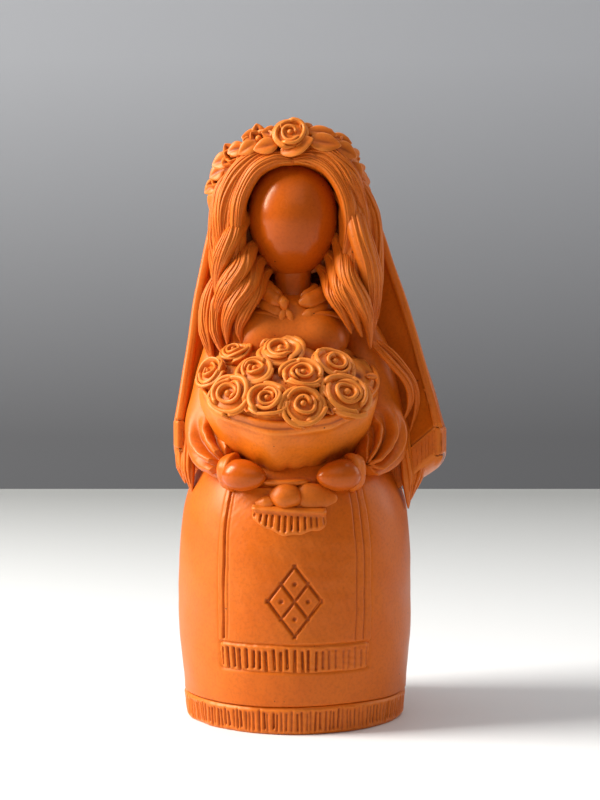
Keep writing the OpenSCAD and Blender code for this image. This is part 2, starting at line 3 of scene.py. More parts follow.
import bmesh
import bpy
import numpy as np
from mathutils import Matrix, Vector


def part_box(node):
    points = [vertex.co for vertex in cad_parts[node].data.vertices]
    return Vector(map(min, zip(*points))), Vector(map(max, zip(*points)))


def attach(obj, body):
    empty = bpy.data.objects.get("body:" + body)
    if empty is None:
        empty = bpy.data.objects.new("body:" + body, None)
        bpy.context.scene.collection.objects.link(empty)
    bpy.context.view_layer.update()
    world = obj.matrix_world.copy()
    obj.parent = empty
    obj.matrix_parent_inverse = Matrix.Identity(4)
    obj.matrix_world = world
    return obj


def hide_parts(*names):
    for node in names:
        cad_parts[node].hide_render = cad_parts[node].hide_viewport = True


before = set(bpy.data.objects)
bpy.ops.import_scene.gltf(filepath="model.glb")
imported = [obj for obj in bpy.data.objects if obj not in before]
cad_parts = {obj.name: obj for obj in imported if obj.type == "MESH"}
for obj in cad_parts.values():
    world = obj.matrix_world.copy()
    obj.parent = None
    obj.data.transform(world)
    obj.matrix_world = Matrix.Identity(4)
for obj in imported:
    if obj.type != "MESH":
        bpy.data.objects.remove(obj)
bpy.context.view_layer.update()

# ---- Camera ----
# The doll is seen from the front, from a little above its waist, with a long lens.
mm = 0.001
camera = bpy.data.objects.new("camera", bpy.data.cameras.new("camera"))
camera.data.lens = 94.5
camera.location = (1.3 * mm, -529 * mm, 119.2 * mm)
camera.rotation_euler = (math.radians(90 - 4.3), 0, 0)
bpy.context.scene.collection.objects.link(camera)
bpy.context.scene.camera = camera


# ---- Skirt ----
# The long skirt is the body of the casting: gypsum filled with resin, poured into a rubber mould, rubbed
# down and painted by hand. A shallow step around the hem and another in front seat the hem and the apron.
def box_of(node):
    """The lowest and highest corners of a CAD piece, in millimetres."""
    low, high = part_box(node)
    return np.array(low) / mm, np.array(high) / mm


def step(x, low, high):
    """Goes smoothly from 0 at low to 1 at high."""
    t = np.clip((x - low) / (high - low), 0, 1)
    return t * t * (3 - 2 * t)


def bump(x, centre, half):
    """A soft bump, 1 at centre and close to 0 past half away from it."""
    return np.exp(-(((x - centre) / half) ** 2) * 2)


def uneven(points, size, seed):
    """A slow, smooth unevenness from -1 to 1, as hand work leaves it, whose waves are about size long."""
    rng = np.random.default_rng(seed)
    total = np.zeros(len(points))
    for _ in range(7):
        way = rng.normal(size=3)
        way *= rng.uniform(0.6, 1.5) * 2 * math.pi / size / np.linalg.norm(way)
        total += np.sin(points @ way + rng.uniform(0, 7))
    return total / 3.5


def colour(code):
    """An sRGB hex colour as the linear colour that a shader takes."""
    parts = [int(code[i : i + 2], 16) / 255 for i in (0, 2, 4)]
    return [p / 12.92 if p < 0.04045 else ((p + 0.055) / 1.055) ** 2.4 for p in parts] + [1]


def add_node(tree, kind, settings=None, **links):
    """Adds a shader node: settings are its properties, and links its inputs, as values or other sockets."""
    node = tree.nodes.new(kind)
    for key, value in (settings or {}).items():
        setattr(node, key, value)
    for key, value in links.items():
        key = key.replace("_", " ")
        socket = node.inputs[int(key[1:])] if key[0] == "i" and key[1:].isdigit() else node.inputs[key]
        if isinstance(value, bpy.types.NodeSocket):
            tree.links.new(value, socket)
        else:
            socket.default_value = value
    return node


def painted_casting(name, deep, body, pale_tone_and_highlight, rough, relief=0.35, brush=0.25, pits=0.5):
    """Paint brushed over the casting. Painted shade darkens its cut lines and pinholes, and a painted highlight
    lightens its raised edges. It is a little uneven in gloss, shows the brush, and here and there a pinhole left by an
    air bubble."""
    material = bpy.data.materials.new(name)
    material.use_nodes = True
    tree = material.node_tree
    shader = tree.nodes["Principled BSDF"]
    place = add_node(tree, "ShaderNodeTexCoord").outputs["Object"]

    # Cloudy patches where the coat is thicker, about 14 mm across
    cloud = add_node(tree, "ShaderNodeTexNoise", Vector=place, Scale=70, Detail=3).outputs["Fac"]
    # Grain of the filled gypsum, about 0.7 mm
    grain = add_node(tree, "ShaderNodeTexNoise", Vector=place, Scale=1400, Detail=3).outputs["Fac"]
    # Strokes of a soft brush drawn downwards, about 0.5 mm wide and 4 mm long
    drawn = add_node(tree, "ShaderNodeMapping", Vector=place, Scale=(1, 1, 0.12)).outputs["Vector"]
    strokes = add_node(tree, "ShaderNodeTexNoise", Vector=drawn, Scale=1900, Detail=2).outputs["Fac"]
    # Pinholes 0.3 mm wide, in one out of a dozen cells of 2.4 mm
    cells = add_node(tree, "ShaderNodeTexVoronoi", Vector=place, Scale=420)
    chosen = add_node(tree, "ShaderNodeSeparateColor", Color=cells.outputs["Color"]).outputs["Red"]
    chance = add_node(tree, "ShaderNodeMath", {"operation": "GREATER_THAN"}, i0=chosen, i1=0.92).outputs[0]
    dot = add_node(
        tree, "ShaderNodeMapRange", Value=cells.outputs["Distance"], From_Min=0.05, From_Max=0.11, To_Min=1, To_Max=0
    ).outputs[0]
    hole = add_node(tree, "ShaderNodeMath", {"operation": "MULTIPLY"}, i0=chance, i1=dot).outputs[0]

    # Painted shade and highlight from the relief: hollows are darkened towards the deep colour, raised points lightened
    # towards the pale one
    height = add_node(tree, "ShaderNodeAttribute", {"attribute_name": "relief"}).outputs["Fac"]
    low = add_node(tree, "ShaderNodeMapRange", Value=height, From_Min=0, From_Max=-relief, To_Min=0, To_Max=1)
    high = add_node(tree, "ShaderNodeMapRange", Value=height, From_Min=0.02, From_Max=relief, To_Min=0, To_Max=1)

    def mix(share, under, over):
        made = add_node(tree, "ShaderNodeMix", {"data_type": "RGBA"}, i0=share)
        for socket, value in ((made.inputs[6], under), (made.inputs[7], over)):
            if isinstance(value, str):
                socket.default_value = colour(value)
            else:
                tree.links.new(value, socket)
        return made.outputs[2]

    share = add_node(tree, "ShaderNodeMapRange", Value=cloud, From_Min=0.35, From_Max=0.75, To_Min=0, To_Max=0.45)
    paint = mix(share.outputs[0], body, pale_tone_and_highlight)
    speck = add_node(tree, "ShaderNodeMapRange", Value=grain, From_Min=0.45, From_Max=0.8, To_Min=0, To_Max=0.3)
    paint = mix(speck.outputs[0], paint, deep)
    # Painted highlight on the raised edges, then painted shade in the cut lines
    raised = add_node(tree, "ShaderNodeMath", {"operation": "MULTIPLY"}, i0=high.outputs[0], i1=0.7).outputs[0]
    paint = mix(raised, paint, pale_tone_and_highlight)
    paint = mix(low.outputs[0], paint, deep)
    # Painted shade in the pinholes, which the bump below also sinks in
    paint = mix(hole, paint, "3A1404")
    tree.links.new(paint, shader.inputs["Base Color"])

    gloss = add_node(
        tree, "ShaderNodeMapRange", Value=cloud, From_Min=0.3, From_Max=0.7, To_Min=rough - 0.05, To_Max=rough + 0.07
    )
    tree.links.new(gloss.outputs[0], shader.inputs["Roughness"])
    shader.inputs["IOR"].default_value = 1.5
    shader.inputs["Specular IOR Level"].default_value = 0.4
    shader.inputs["Specular Tint"].default_value = (1, 0.78, 0.55, 1)

    rise = add_node(tree, "ShaderNodeMath", {"operation": "MULTIPLY"}, i0=strokes, i1=brush).outputs[0]
    rise = add_node(tree, "ShaderNodeMath", {"operation": "MULTIPLY_ADD"}, i0=grain, i1=0.35, i2=rise).outputs[0]
    rise = add_node(tree, "ShaderNodeMath", {"operation": "MULTIPLY_ADD"}, i0=hole, i1=-pits * 4, i2=rise).outputs[0]
    surface = add_node(tree, "ShaderNodeBump", Strength=0.35, Distance=0.12 * mm, Height=rise)
    tree.links.new(surface.outputs["Normal"], shader.inputs["Normal"])
    return material


def add_form(bm, around, along, place):
    """A closed form: a sheet rolled into a tube and drawn together at both ends. place(share, turn) gives the
    points, from the share of the way along, 0 to 1, and the turn around, -pi to pi."""
    verts = bmesh.ops.create_grid(bm, x_segments=around, y_segments=along, size=1)["verts"]
    unit = np.array([v.co[:] for v in verts]) / 2 + 0.5
    turn = np.round(unit[:, 0] * around) % around / around * 2 * math.pi - math.pi
    for vert, point in zip(verts, place(unit[:, 1], turn).tolist()):
        vert.co = point


def add_ring(bm, around, along, place):
    """A closed ring, like a form whose first and last rows are joined to each other by one more row of faces."""
    rows = bmesh.ops.create_grid(bm, x_segments=around, y_segments=along, size=1)["verts"]
    unit = np.array([v.co[:] for v in rows]) / 2 + 0.5
    turn = np.round(unit[:, 0] * around) % around / around * 2 * math.pi - math.pi
    for vert, point in zip(rows, place(unit[:, 1], turn).tolist()):
        vert.co = point
    bmesh.ops.remove_doubles(bm, verts=rows, dist=1e-4)
    open_edges = [edge for edge in bm.edges if edge.is_boundary]
    bmesh.ops.bridge_loops(bm, edges=open_edges)


def finish_piece(bm, name, material):
    """Turns a form in millimetres into a piece, with how far each point stands out of its surroundings stored in
    the attribute relief, which the paint reads for its painted shade in hollows and painted highlight on raised points."""
    bmesh.ops.remove_doubles(bm, verts=bm.verts, dist=2e-3)
    bmesh.ops.recalc_face_normals(bm, faces=bm.faces)
    bmesh.ops.scale(bm, vec=(mm, mm, mm), verts=bm.verts)
    mesh = bpy.data.meshes.new(name)
    bm.to_mesh(mesh)
    bm.free()
    mesh.shade_smooth()
    mesh.materials.append(material)

    count = len(mesh.vertices)
    spot = np.empty(count * 3)
    mesh.vertices.foreach_get("co", spot)
    spot = spot.reshape(-1, 3) / mm
    ends = np.empty(len(mesh.edges) * 2, int)
    mesh.edges.foreach_get("vertices", ends)
    one, other = ends.reshape(-1, 2).T
    length = np.median(np.linalg.norm(spot[one] - spot[other], axis=1))
    reach = 0.5
    degree = np.bincount(one, minlength=count) + np.bincount(other, minlength=count)
    soft = spot.copy()
    for _ in range(int(np.clip(2 * (reach / length) ** 2, 2, 30))):
        around = [np.bincount(one, soft[other, i], count) + np.bincount(other, soft[one, i], count) for i in range(3)]
        soft = 0.3 * soft + 0.7 * np.stack(around, 1) / degree[:, None]
    normal = np.empty(count * 3)
    mesh.vertex_normals.foreach_get("vector", normal)
    relief = ((spot - soft) * normal.reshape(-1, 3)).sum(1)
    mesh.attributes.new("relief", "FLOAT", "POINT").data.foreach_set("value", relief.astype(np.float32))

    piece = bpy.data.objects.new(name, mesh)
    bpy.context.scene.collection.objects.link(piece)
    return piece


skirt_low, skirt_high = box_of("skirt")
hem_low, hem_high = box_of("hem_fringe")
apron_low, apron_high = box_of("apron")
skirt_h = skirt_high[2]
hip_h = skirt_h / 2
hip_r = skirt_high[0] + 0.1
base_r = hip_r - 2
waist_r = 13
hem_top = hem_high[2]
apron_angle = math.asin((apron_high[0] - 0.3) / hip_r)


def skirt_r(z):
    """The skirt's radius at a height: a slow swell to the hips, then a full dome to the waist."""
    swell = base_r + (hip_r - base_r) * np.sin(np.clip(z, 0, hip_h) / hip_h * math.pi / 2)
    rise = np.clip((z - hip_h) / (skirt_h - hip_h), 0, 1)
    dome = waist_r + (hip_r - waist_r) * (1 - rise**2.6) ** (1 / 2.6)
    return np.where(z < hip_h, swell, dome)


def hem_line(turn):
    """The height of the cut line above the hem, which wanders as it goes round."""
    return hem_top - 0.9 + 0.7 * np.cos(turn - 0.35) + 0.15 * np.sin(4 * turn)


# Smooth cloth: cast gypsum under a brushed satin orange-brown paint
gypsum_cloth = painted_casting("painted_gypsum_cloth", "7C2A02", "C65A06", "D66E18", 0.4)

def turned(r, turn, z):
    """Points at a distance from the doll's axis and an angle round from its front."""
    return np.stack([r * np.sin(turn), -r * np.cos(turn), z], 1)


def skirt_form(share, turn):
    levels = np.concatenate([
        [0, 0.15, 0.4, 0.8],
        np.linspace(1.4, 6, 12),
        np.linspace(6.2, 8.6, 20),
        np.linspace(9.2, skirt_h - 0.05, 118),
    ])
    out = np.concatenate([[0, base_r * 0.5, base_r - 0.5], skirt_r(levels[1:]), [waist_r * 0.5, 0]])
    high = np.concatenate([[0, 0, 0], levels[1:], [skirt_h, skirt_h]])
    at = share * (len(out) - 1)
    near, z = np.interp(at, range(len(out)), out), np.interp(at, range(len(out)), high)
    z = z + (hem_line(turn) - hem_top) * bump(z, hem_top, 5)
    spots = turned(near, turn, z)
    inset = 0.9 * (1 - step(z - hem_line(turn), -0.15, 0.45))
    apron_seat = 1 - step(np.abs(turn), apron_angle - 0.02, apron_angle + 0.035)
    inset += 0.55 * apron_seat * step(z, 15.2, 16) * step(62 - z, 0, 1)
    side = step(near, base_r * 0.6, base_r - 1)
    return turned(near + side * (0.22 * uneven(spots, 26, 1) + 0.05 * uneven(spots, 7, 2) - inset), turn, z)


bm = bmesh.new()
add_form(bm, 300, 157, skirt_form)
skirt = finish_piece(bm, "carved_skirt", gypsum_cloth)
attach(skirt, "root")
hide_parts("skirt")

# ---- Hem fringe ----
# The lowest band of the skirt, where the fringe is cut in with a gouge: short upright cuts, close together
# and uneven, deep at the front left and shallow towards the right.
# Cut trimmings: the same paint, with painted shade darker in the cuts and a painted highlight lighter on their edges
gypsum_trim = painted_casting("painted_gypsum_trim", "7A2A02", "C85C08", "DA7420", 0.4, relief=0.22, brush=0.35)

hem_cuts = 150
cut_samples = 8
rng = np.random.default_rng(11)
cut_shift = rng.uniform(-0.22, 0.22, hem_cuts)
cut_depth = rng.uniform(0.3, 0.62, hem_cuts)
cut_foot = rng.uniform(0.5, 1.5, hem_cuts)
cut_head = rng.uniform(0.5, 1.5, hem_cuts)
cut_lean = rng.uniform(-0.035, 0.035, hem_cuts)


def hem_form(share, turn):
    up = np.interp(share, [0, 0.05, 0.1, 0.9, 0.95, 1], [0, 0, 0, 1, 1, 1])
    wall = np.interp(share, [0, 0.05, 0.1, 0.9, 0.95, 1], [1.4, 0.7, 0, 0, 0.7, 1.4])
    top = hem_line(turn)
    z = up * top
    lean = (turn + math.pi) * hem_cuts / (2 * math.pi)
    index = np.floor(lean).astype(int) % hem_cuts
    place = lean - np.floor(lean) - 0.5 - cut_shift[index] - (z - top / 2) * cut_lean[index]
    inside = step(z, cut_foot[index] - 0.5, cut_foot[index] + 0.4)
    inside *= step(top - z, cut_head[index] - 0.3, cut_head[index] + 0.5)
    strength = 0.5 + 0.4 * np.cos(turn + 0.5)
    cut = cut_depth[index] * strength * inside * bump(place, 0, 0.36)
    edge = 0.5 * (1 - step(top - z, 0, 0.9)) + 0.45 * (1 - step(z, 0, 0.9))
    spots = turned(skirt_r(z), turn, z)
    proud = 0.1 - (cut + edge) * (wall == 0) + 0.16 * uneven(spots, 12, 3) + 0.06 * uneven(spots, 2.2, 4)
    return turned(skirt_r(z) - wall - 0.95 * (wall > 0) + proud, turn, z)


# The ring is closed from its inner side: its first and last rows meet behind it
bm = bmesh.new()
add_ring(bm, hem_cuts * cut_samples, 44, hem_form)
hem = finish_piece(bm, "cut_hem", gypsum_trim)
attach(hem, "root")
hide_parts("hem_fringe")


# ---- Apron ----
# A panel down the front of the skirt, bounded by lines cut with a V gouge, double on each side. In its middle
# a quartered lozenge with a dot in each field, the old sign for a sown field, is cut a little deeper.
def add_plate(bm, across, up, place):
    """A closed plate: place(u, v, side) gives its points, with side 1 on its outer face and 0 on its inner one."""
    inner = bmesh.ops.create_grid(bm, x_segments=across, y_segments=up, size=1)["verts"]
    faces = list({face for vert in inner for face in vert.link_faces})
    raised = bmesh.ops.extrude_face_region(bm, geom=faces, use_keep_orig=True)["geom"]
    outer = [g for g in raised if isinstance(g, bmesh.types.BMVert)]
    for verts, side in ((inner, 0), (outer, 1)):
        unit = np.array([v.co[:] for v in verts]) / 2 + 0.5
        for vert, point in zip(verts, place(unit[:, 0], unit[:, 1], side).tolist()):
            vert.co = point


def on_skirt(across, z, proud):
    """A point on the skirt: the distance across the front along its surface, the height, and how proud it stands."""
    angle = across / hip_r
    r = skirt_r(z) + proud
    return np.stack([r * np.sin(angle), -r * np.cos(angle), z], 1)


def stroke(x, y, start, end, half):
    """The share of a cut's depth at each point, for one pull of the gouge from start to end."""
    way = np.array(end) - np.array(start)
    along = np.clip(((x - start[0]) * way[0] + (y - start[1]) * way[1]) / (way @ way), 0, 1)
    away = np.hypot(x - start[0] - along * way[0], y - start[1] - along * way[1])
    return 1 - step(away, 0.1, half)


apron_w = 2 * hip_r * apron_angle
apron_foot = apron_low[2]
apron_top = apron_high[2]
sign_z = apron_foot + 10.6
sign_w = 13
sign_h = 17
margin = 1.3


def apron_face(u, v, side):
    across = (u - 0.5) * (apron_w + 2 * margin)
    z = apron_foot - 0.4 + v * (apron_top - apron_foot + 0.4)
    wander = 0.12 * np.sin(z / 5) + 0.08 * np.sin(z / 2.1)
    cut = np.zeros(len(u))
    for x, deep, half in ((-18.4, 0.75, 0.5), (-17.1, 0.16, 0.4), (15.8, 0.26, 0.4), (18.1, 0.3, 0.45)):
        line = step(z, apron_foot + 0.2, apron_foot + 1)
        cut = np.maximum(cut, deep * line * (1 - step(np.abs(across - x - wander), 0.08, half)))
    for row in (-1, 0, 1):
        for lean in (-1, 1):
            middle = np.array([row * sign_w / 4, sign_z + lean * row * sign_h / 4])
            half_way = np.array([sign_w / 4, -lean * sign_h / 4]) * 1.05
            cut = np.maximum(cut, 0.68 * stroke(across, z, middle - half_way, middle + half_way, 0.55))
    for field in ((-1, 0), (1, 0), (0, -1), (0, 1)):
        away = np.hypot(across - field[0] * sign_w / 4, z - sign_z - field[1] * sign_h / 4)
        cut = np.maximum(cut, 0.5 * (1 - step(away, 0.25, 0.75)))
    proud = 0.14 - cut - 0.6 * (1 - step(z - apron_foot, -0.4, 0.45))
    proud -= 0.75 * step(np.abs(across), apron_w / 2 + 0.4, apron_w / 2 + margin)
    spots = on_skirt(across, z, 0)
    proud += 0.12 * uneven(spots, 17, 5) + 0.05 * uneven(spots, 5, 6) + 0.018 * uneven(spots, 1.6, 7)
    return on_skirt(across, z, proud if side else np.full(len(u), -1.1))


bm = bmesh.new()
add_plate(bm, 196, 178, apron_face)
apron = finish_piece(bm, "carved_apron", gypsum_cloth)
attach(apron, "root")
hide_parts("apron")

# ---- Apron fringe ----
# The fringe under the apron is a low band with a row of upright pockets gouged out of it. Towards the right
# the pockets run together and fade.
fringe_low, fringe_high = box_of("apron_fringe")
fringe_foot = fringe_low[2]
fringe_h = apron_foot - fringe_foot
pockets = 23
rng = np.random.default_rng(21)
pocket_shift = rng.uniform(-0.12, 0.12, pockets)
pocket_half = rng.uniform(0.24, 0.34, pockets)
pocket_foot = rng.uniform(0.3, 1.2, pockets)
pocket_head = rng.uniform(0.9, 1.7, pockets)
pocket_lean = rng.uniform(-0.01, 0.03, pockets)


def apron_fringe_face(u, v, side):
    across = (u - 0.5) * (apron_w + 1.0)
    drop = 0.5 * np.sin(across / 9 + 1) + 0.2 * np.sin(across / 2.3)
    z = apron_foot + 0.1 - (1 - v) * (fringe_h + 0.1 + 0.3 * drop)
    lean = u * pockets
    index = np.clip(np.floor(lean).astype(int), 0, pockets - 1)
    away = np.abs(lean - index - 0.5 - pocket_shift[index] + (z - apron_foot + 3.5) * pocket_lean[index])
    fade = 1 - 0.62 * step(u, 0.55, 0.8)
    foot = fringe_foot + pocket_foot[index]
    head = apron_foot - pocket_head[index]
    span = step(z, foot - 0.3, foot + 0.5) * step(head - z, -0.3, 0.5)
    cut = 0.66 * fade * span * (1 - step(away, 0.02, pocket_half[index] + 0.08))
    proud = 0.22 - cut - 0.6 * (1 - step(apron_foot - z, -0.1, 0.9))
    proud -= 0.5 * (1 - step(v, 0, 0.14)) + 0.5 * (1 - step(np.minimum(u, 1 - u) * apron_w, 0, 1.4))
    spots = on_skirt(across, z, 0)
    proud += 0.1 * uneven(spots, 9, 8) + 0.05 * uneven(spots, 2, 9)
    return on_skirt(across, z, proud if side else np.full(len(u), -1.1))


bm = bmesh.new()
add_plate(bm, 280, 46, apron_fringe_face)
apron_fringe = finish_piece(bm, "cut_apron_fringe", gypsum_trim)
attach(apron_fringe, "root")
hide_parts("apron_fringe")

# ---- Bodice ----
# The upper body is one smooth form: a round chest with two full lobes, sloping shoulders, and the narrow edge
# of a neckline that dips in the middle. It seats on the waist and carries the sleeves.
bodice_low, bodice_high = box_of("bodice")
chest_top = bodice_high[2]
middle_x = -0.5
bodice_middle = np.array([middle_x, 0, 86.0])
bodice_balls = [
    ((middle_x, 0.6, 84), (13.4, 11.8, 22)),
    ((middle_x, 0, 97), (15, 8.6, 7.5)),
    ((-13, 0.4, chest_top - 6.2), (6.2, 6.2, 5.8)),
    ((12.4, 0.4, chest_top - 6.2), (6.2, 6.2, 5.8)),
    ((-7.7, -6.4, 95.0), (8.2, 8.0, 7.8)),
    ((5.0, -6.4, 95.0), (8.2, 8.0, 7.8)),
    ((-1.4, -6.0, 94.8), (6.4, 7.9, 7.2)),
    ((middle_x, -2.4, 102), (8, 7.6, 4.6)),
]


def swell(points, balls, soft):
    """How far points are outside a group of balls that run into each other over the distance soft."""
    total = np.zeros(len(points))
    for centre, radii in balls:
        radii = np.array(radii)
        away = (np.linalg.norm((points - centre) / radii, axis=1) - 1) * radii.min()
        total += np.exp(-away / soft)
    return -soft * np.log(total + 1e-30)


def bodice_form(share, turn):
    way = np.stack([np.sin(share * math.pi) * np.cos(turn), np.sin(share * math.pi) * np.sin(turn)], 1)
    way = np.concatenate([way, -np.cos(share * math.pi)[:, None]], 1)
    near, far = np.zeros(len(way)), np.full(len(way), 45.0)
    for _ in range(26):
        half = (near + far) / 2
        inside = swell(bodice_middle + way * half[:, None], bodice_balls, 0.9) < 0
        near, far = np.where(inside, half, near), np.where(inside, far, half)
    points = bodice_middle + way * near[:, None]
    points[:, 2] = np.maximum(points[:, 2], skirt_h - 2)
    return points + way * (0.12 * uneven(points, 11, 12))[:, None]


def smooth_path(points, share):
    """Points on a curve through all of the given points, at a share from 0 to 1 of the way along."""
    points = np.array(points, float)
    at = np.clip(share, 0, 1) * (len(points) - 1)
    i = np.clip(np.floor(at).astype(int), 0, len(points) - 2)
    t = (at - i)[:, None]
    padded = np.concatenate([[2 * points[0] - points[1]], points, [2 * points[-1] - points[-2]]])
    a, b, c, d = padded[i], padded[i + 1], padded[i + 2], padded[i + 3]
    return 0.5 * (2 * b + (c - a) * t + (2 * a - 5 * b + 4 * c - d) * t**2 + (3 * b - a - 3 * c + d) * t**3)


def path_frame(points, share, outward):
    """The place on a path, and across it: its direction, the way outwards and the way sideways."""
    place = smooth_path(points, share)
    ahead = smooth_path(points, np.minimum(share + 0.01, 1)) - smooth_path(points, np.maximum(share - 0.01, 0))
    ahead /= np.linalg.norm(ahead, axis=1)[:, None]
    out = np.broadcast_to(outward, place.shape) if np.ndim(outward) == 1 else outward
    out = out - ahead * (out * ahead).sum(1)[:, None]
    out = out / np.linalg.norm(out, axis=1)[:, None]
    return place, ahead, out, np.cross(ahead, out)


def add_roll(bm, points, wide, thick, outward, around=24, along=60, taper=0.12):
    """A roll of clay laid along a path, wide across it and thick outwards, with rounded ends."""

    def place(share, turn):
        spot, _, out, aside = path_frame(points, share, np.array(outward, float))
        ends = np.sqrt(np.clip(np.minimum(share, 1 - share) / taper, 0, 1))
        return spot + (aside * (wide * np.cos(turn))[:, None] + out * (thick * np.sin(turn))[:, None]) * ends[:, None]

    add_form(bm, around, along, place)


bm = bmesh.new()
add_form(bm, 200, 140, bodice_form)
neckline = [(-13.5, -7.0, 100.2), (-9.5, -9.6, 101.5), (-5, -11.0, 100.9), (-1.6, -11.9, 99), (middle_x, -12.1, 97.9)]
add_roll(bm, neckline, 0.75, 0.6, (0, -1, 0.4))
add_roll(bm, [(2 * middle_x - x, y, z) for x, y, z in neckline], 0.75, 0.6, (0, -1, 0.4))
bodice = finish_piece(bm, "modelled_bodice", gypsum_cloth)
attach(bodice, "root")
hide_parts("bodice")

# ---- Sleeves ----
# Full sleeves hang from the shoulders and are drawn in at the wrists: each is a thick roll modelled onto the
# side of the body, with deep creases pressed in where the cuff gathers it.
gypsum_sleeve = gypsum_cloth
sleeve_line = [
    (0, 0.5, -0.5, 5.6), (3.0, -0.6, -6, 6.1), (4.9, -2.2, -13, 6.4), (6.2, -4.2, -20, 6.8), (7.0, -6.8, -26, 7.2),
    (7.0, -10.6, -30.2, 6.8), (6.0, -14.4, -32.6, 5.6), (4.8, -17.6, -34, 4.2), (3.8, -19.8, -34.8, 3.2),
]
shoulder_x = 13
shoulder_z = chest_top - 5.5
creases = {
    -1: [
        (2.5, 0.74, 0.2, 1.5), (1.75, 0.7, 0.24, 1.9), (1.05, 0.74, 0.2, 1.3), (0.2, 0.78, 0.2, 1.0),
        (-1.2, 0.8, 0.15, 0.9),
    ],
    1: [
        (0.55, 0.7, 0.22, 1.5), (1.15, 0.66, 0.26, 2.3), (1.8, 0.68, 0.24, 1.5), (2.4, 0.66, 0.26, 2.2),
        (-1.5, 0.8, 0.2, 0.9),
    ],
}
for side, name in ((-1, "left"), (1, "right")):
    path = [(side * (shoulder_x + p[0] + (0.6 if side > 0 else 0)), p[1], shoulder_z + p[2]) for p in sleeve_line]
    sizes = [(p[3], p[3], p[3]) for p in sleeve_line]

    def sleeve_form(share, turn, side=side, path=path, sizes=sizes):
        spot, ahead, out, aside = path_frame(path, share, np.array([side * 0.55, -0.8, 0.1]))
        r = smooth_path(sizes, share)[:, 0] * np.sqrt(np.clip(np.minimum(share / 0.05, (1 - share) / 0.04), 0, 1))
        r = r + 0.35 * uneven(spot + out * r[:, None], 13, 31 + side)
        for angle, start, length, deep in creases[side]:
            away = np.angle(np.exp(1j * (turn - angle - 0.5 * (share - 0.8))))
            width = 0.15 + 0.25 * np.clip(0.95 - share, 0, 1)
            hollow = np.exp(-((away / width) ** 2))
            ridge = np.exp(-(((np.abs(away) - 1.6 * width) / width) ** 2))
            r = r - deep * hollow * step(share, start - length, start + 0.06) * step(1 - share, 0, 0.05)
            r = r + 0.4 * deep * ridge * step(share, start - length, start)
        return spot + aside * (r * np.cos(turn))[:, None] + out * (r * np.sin(turn))[:, None]

    bm = bmesh.new()
    add_form(bm, 150, 150, sleeve_form)
    piece = finish_piece(bm, f"modelled_sleeve_{name}", gypsum_sleeve)
    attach(piece, "root")
    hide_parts(f"sleeve_{name}")

# ---- Neck ----
# A short column that runs up into the chin, a little wider where it meets the chest.
# Skin: polished gypsum under a glossier coat, in colours darker than the cloth's as painted shade on the face, neck and
# hands
gypsum_skin = painted_casting("glossy_painted_gypsum_skin", "862F00", "B84F08", "C45C10", 0.24, brush=0.1, pits=0.6)
neck_low, neck_high = box_of("neck")
neck_r = (neck_high[0] - neck_low[0]) / 2
neck_x, neck_y = (neck_low[0] + neck_high[0]) / 2, (neck_low[1] + neck_high[1]) / 2


def neck_form(share, turn):
    z = neck_low[2] - 2 + share * (neck_high[2] - neck_low[2] + 5)
    r = neck_r * (0.93 + 0.9 * (share - 0.55) ** 2) * np.sqrt(np.clip(np.minimum(share, 1 - share) / 0.04, 0, 1))
    return np.stack([neck_x + r * np.cos(turn), neck_y + r * np.sin(turn), z], 1)


bm = bmesh.new()
add_form(bm, 64, 32, neck_form)
neck = finish_piece(bm, "neck_column", gypsum_skin)
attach(neck, "root")
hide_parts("neck")

# ---- Head ----
# A smooth egg with no face, as such dolls have, narrower at the chin, rubbed smooth and painted glossier than
# the rest.
head_low, head_high = box_of("head")
head_middle = (head_low + head_high) / 2
head_r = (head_high - head_low) / 2


def head_form(share, turn):
    up = -np.cos(share * math.pi)
    wide = np.sin(share * math.pi) * (1 + 0.085 * up - 0.02 * up**2)
    points = np.stack([wide * np.cos(turn), wide * np.sin(turn), up], 1) * head_r
    points += points / head_r.mean() * (0.1 * uneven(points, 16, 41))[:, None]
    return points + head_middle


bm = bmesh.new()
add_form(bm, 128, 96, head_form)
head = finish_piece(bm, "faceless_head", gypsum_skin)
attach(head, "root")
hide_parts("head")

# ---- Collar and its knot ----
# A folded collar round the neck: a thick flap on each side, doubled over at the front, held by a small knot
# with two short ends.
collar_parts = {
    -1: [
        ([(-7.0, 2.0, 107.4), (-8.6, -2.4, 107.4), (-7.8, -6.4, 107.2), (-5.2, -9.0, 105.2),
          (-2.6, -10.4, 103.4)], 1.9, 1.5),
        ([(-8.4, 1.0, 104.8), (-9.2, -3.6, 104.6), (-7.8, -8.0, 103.9), (-4.8, -10.2, 102.4),
          (-2.4, -11.0, 101.4)], 1.5, 1.1),
        ([(-5.6, -1.0, 108.4), (-6.6, -4.8, 108.4), (-5.0, -7.6, 107.0), (-3.0, -9.2, 105.2)], 1.2, 1.2),
    ],
    1: [
        ([(6.2, 2.0, 107.4), (7.6, -2.4, 107.2), (6.6, -6.6, 106.2), (3.8, -9.2, 104.9),
          (0.9, -10.2, 104.2)], 2.0, 1.3),
        ([(7.4, 1.0, 104.8), (8.6, -3.6, 104.2), (7.0, -8.0, 103.0), (4.0, -10.4, 101.6),
          (1.6, -11.2, 100.9)], 1.5, 1.0),
        ([(4.4, -1.0, 108.0), (5.2, -4.6, 107.8), (3.6, -7.4, 106.6), (1.4, -8.8, 105.6)], 1.2, 0.9),
    ],
}
for side, name in ((-1, "left"), (1, "right")):
    bm = bmesh.new()
    for path, wide, thick in collar_parts[side]:
        add_roll(bm, path, wide, thick, (side * 0.5, -0.8, 0.55), 32, 64, 0.2)
    piece = finish_piece(bm, f"folded_collar_{name}", gypsum_trim)
    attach(piece, "root")
    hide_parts(f"collar_{name}")

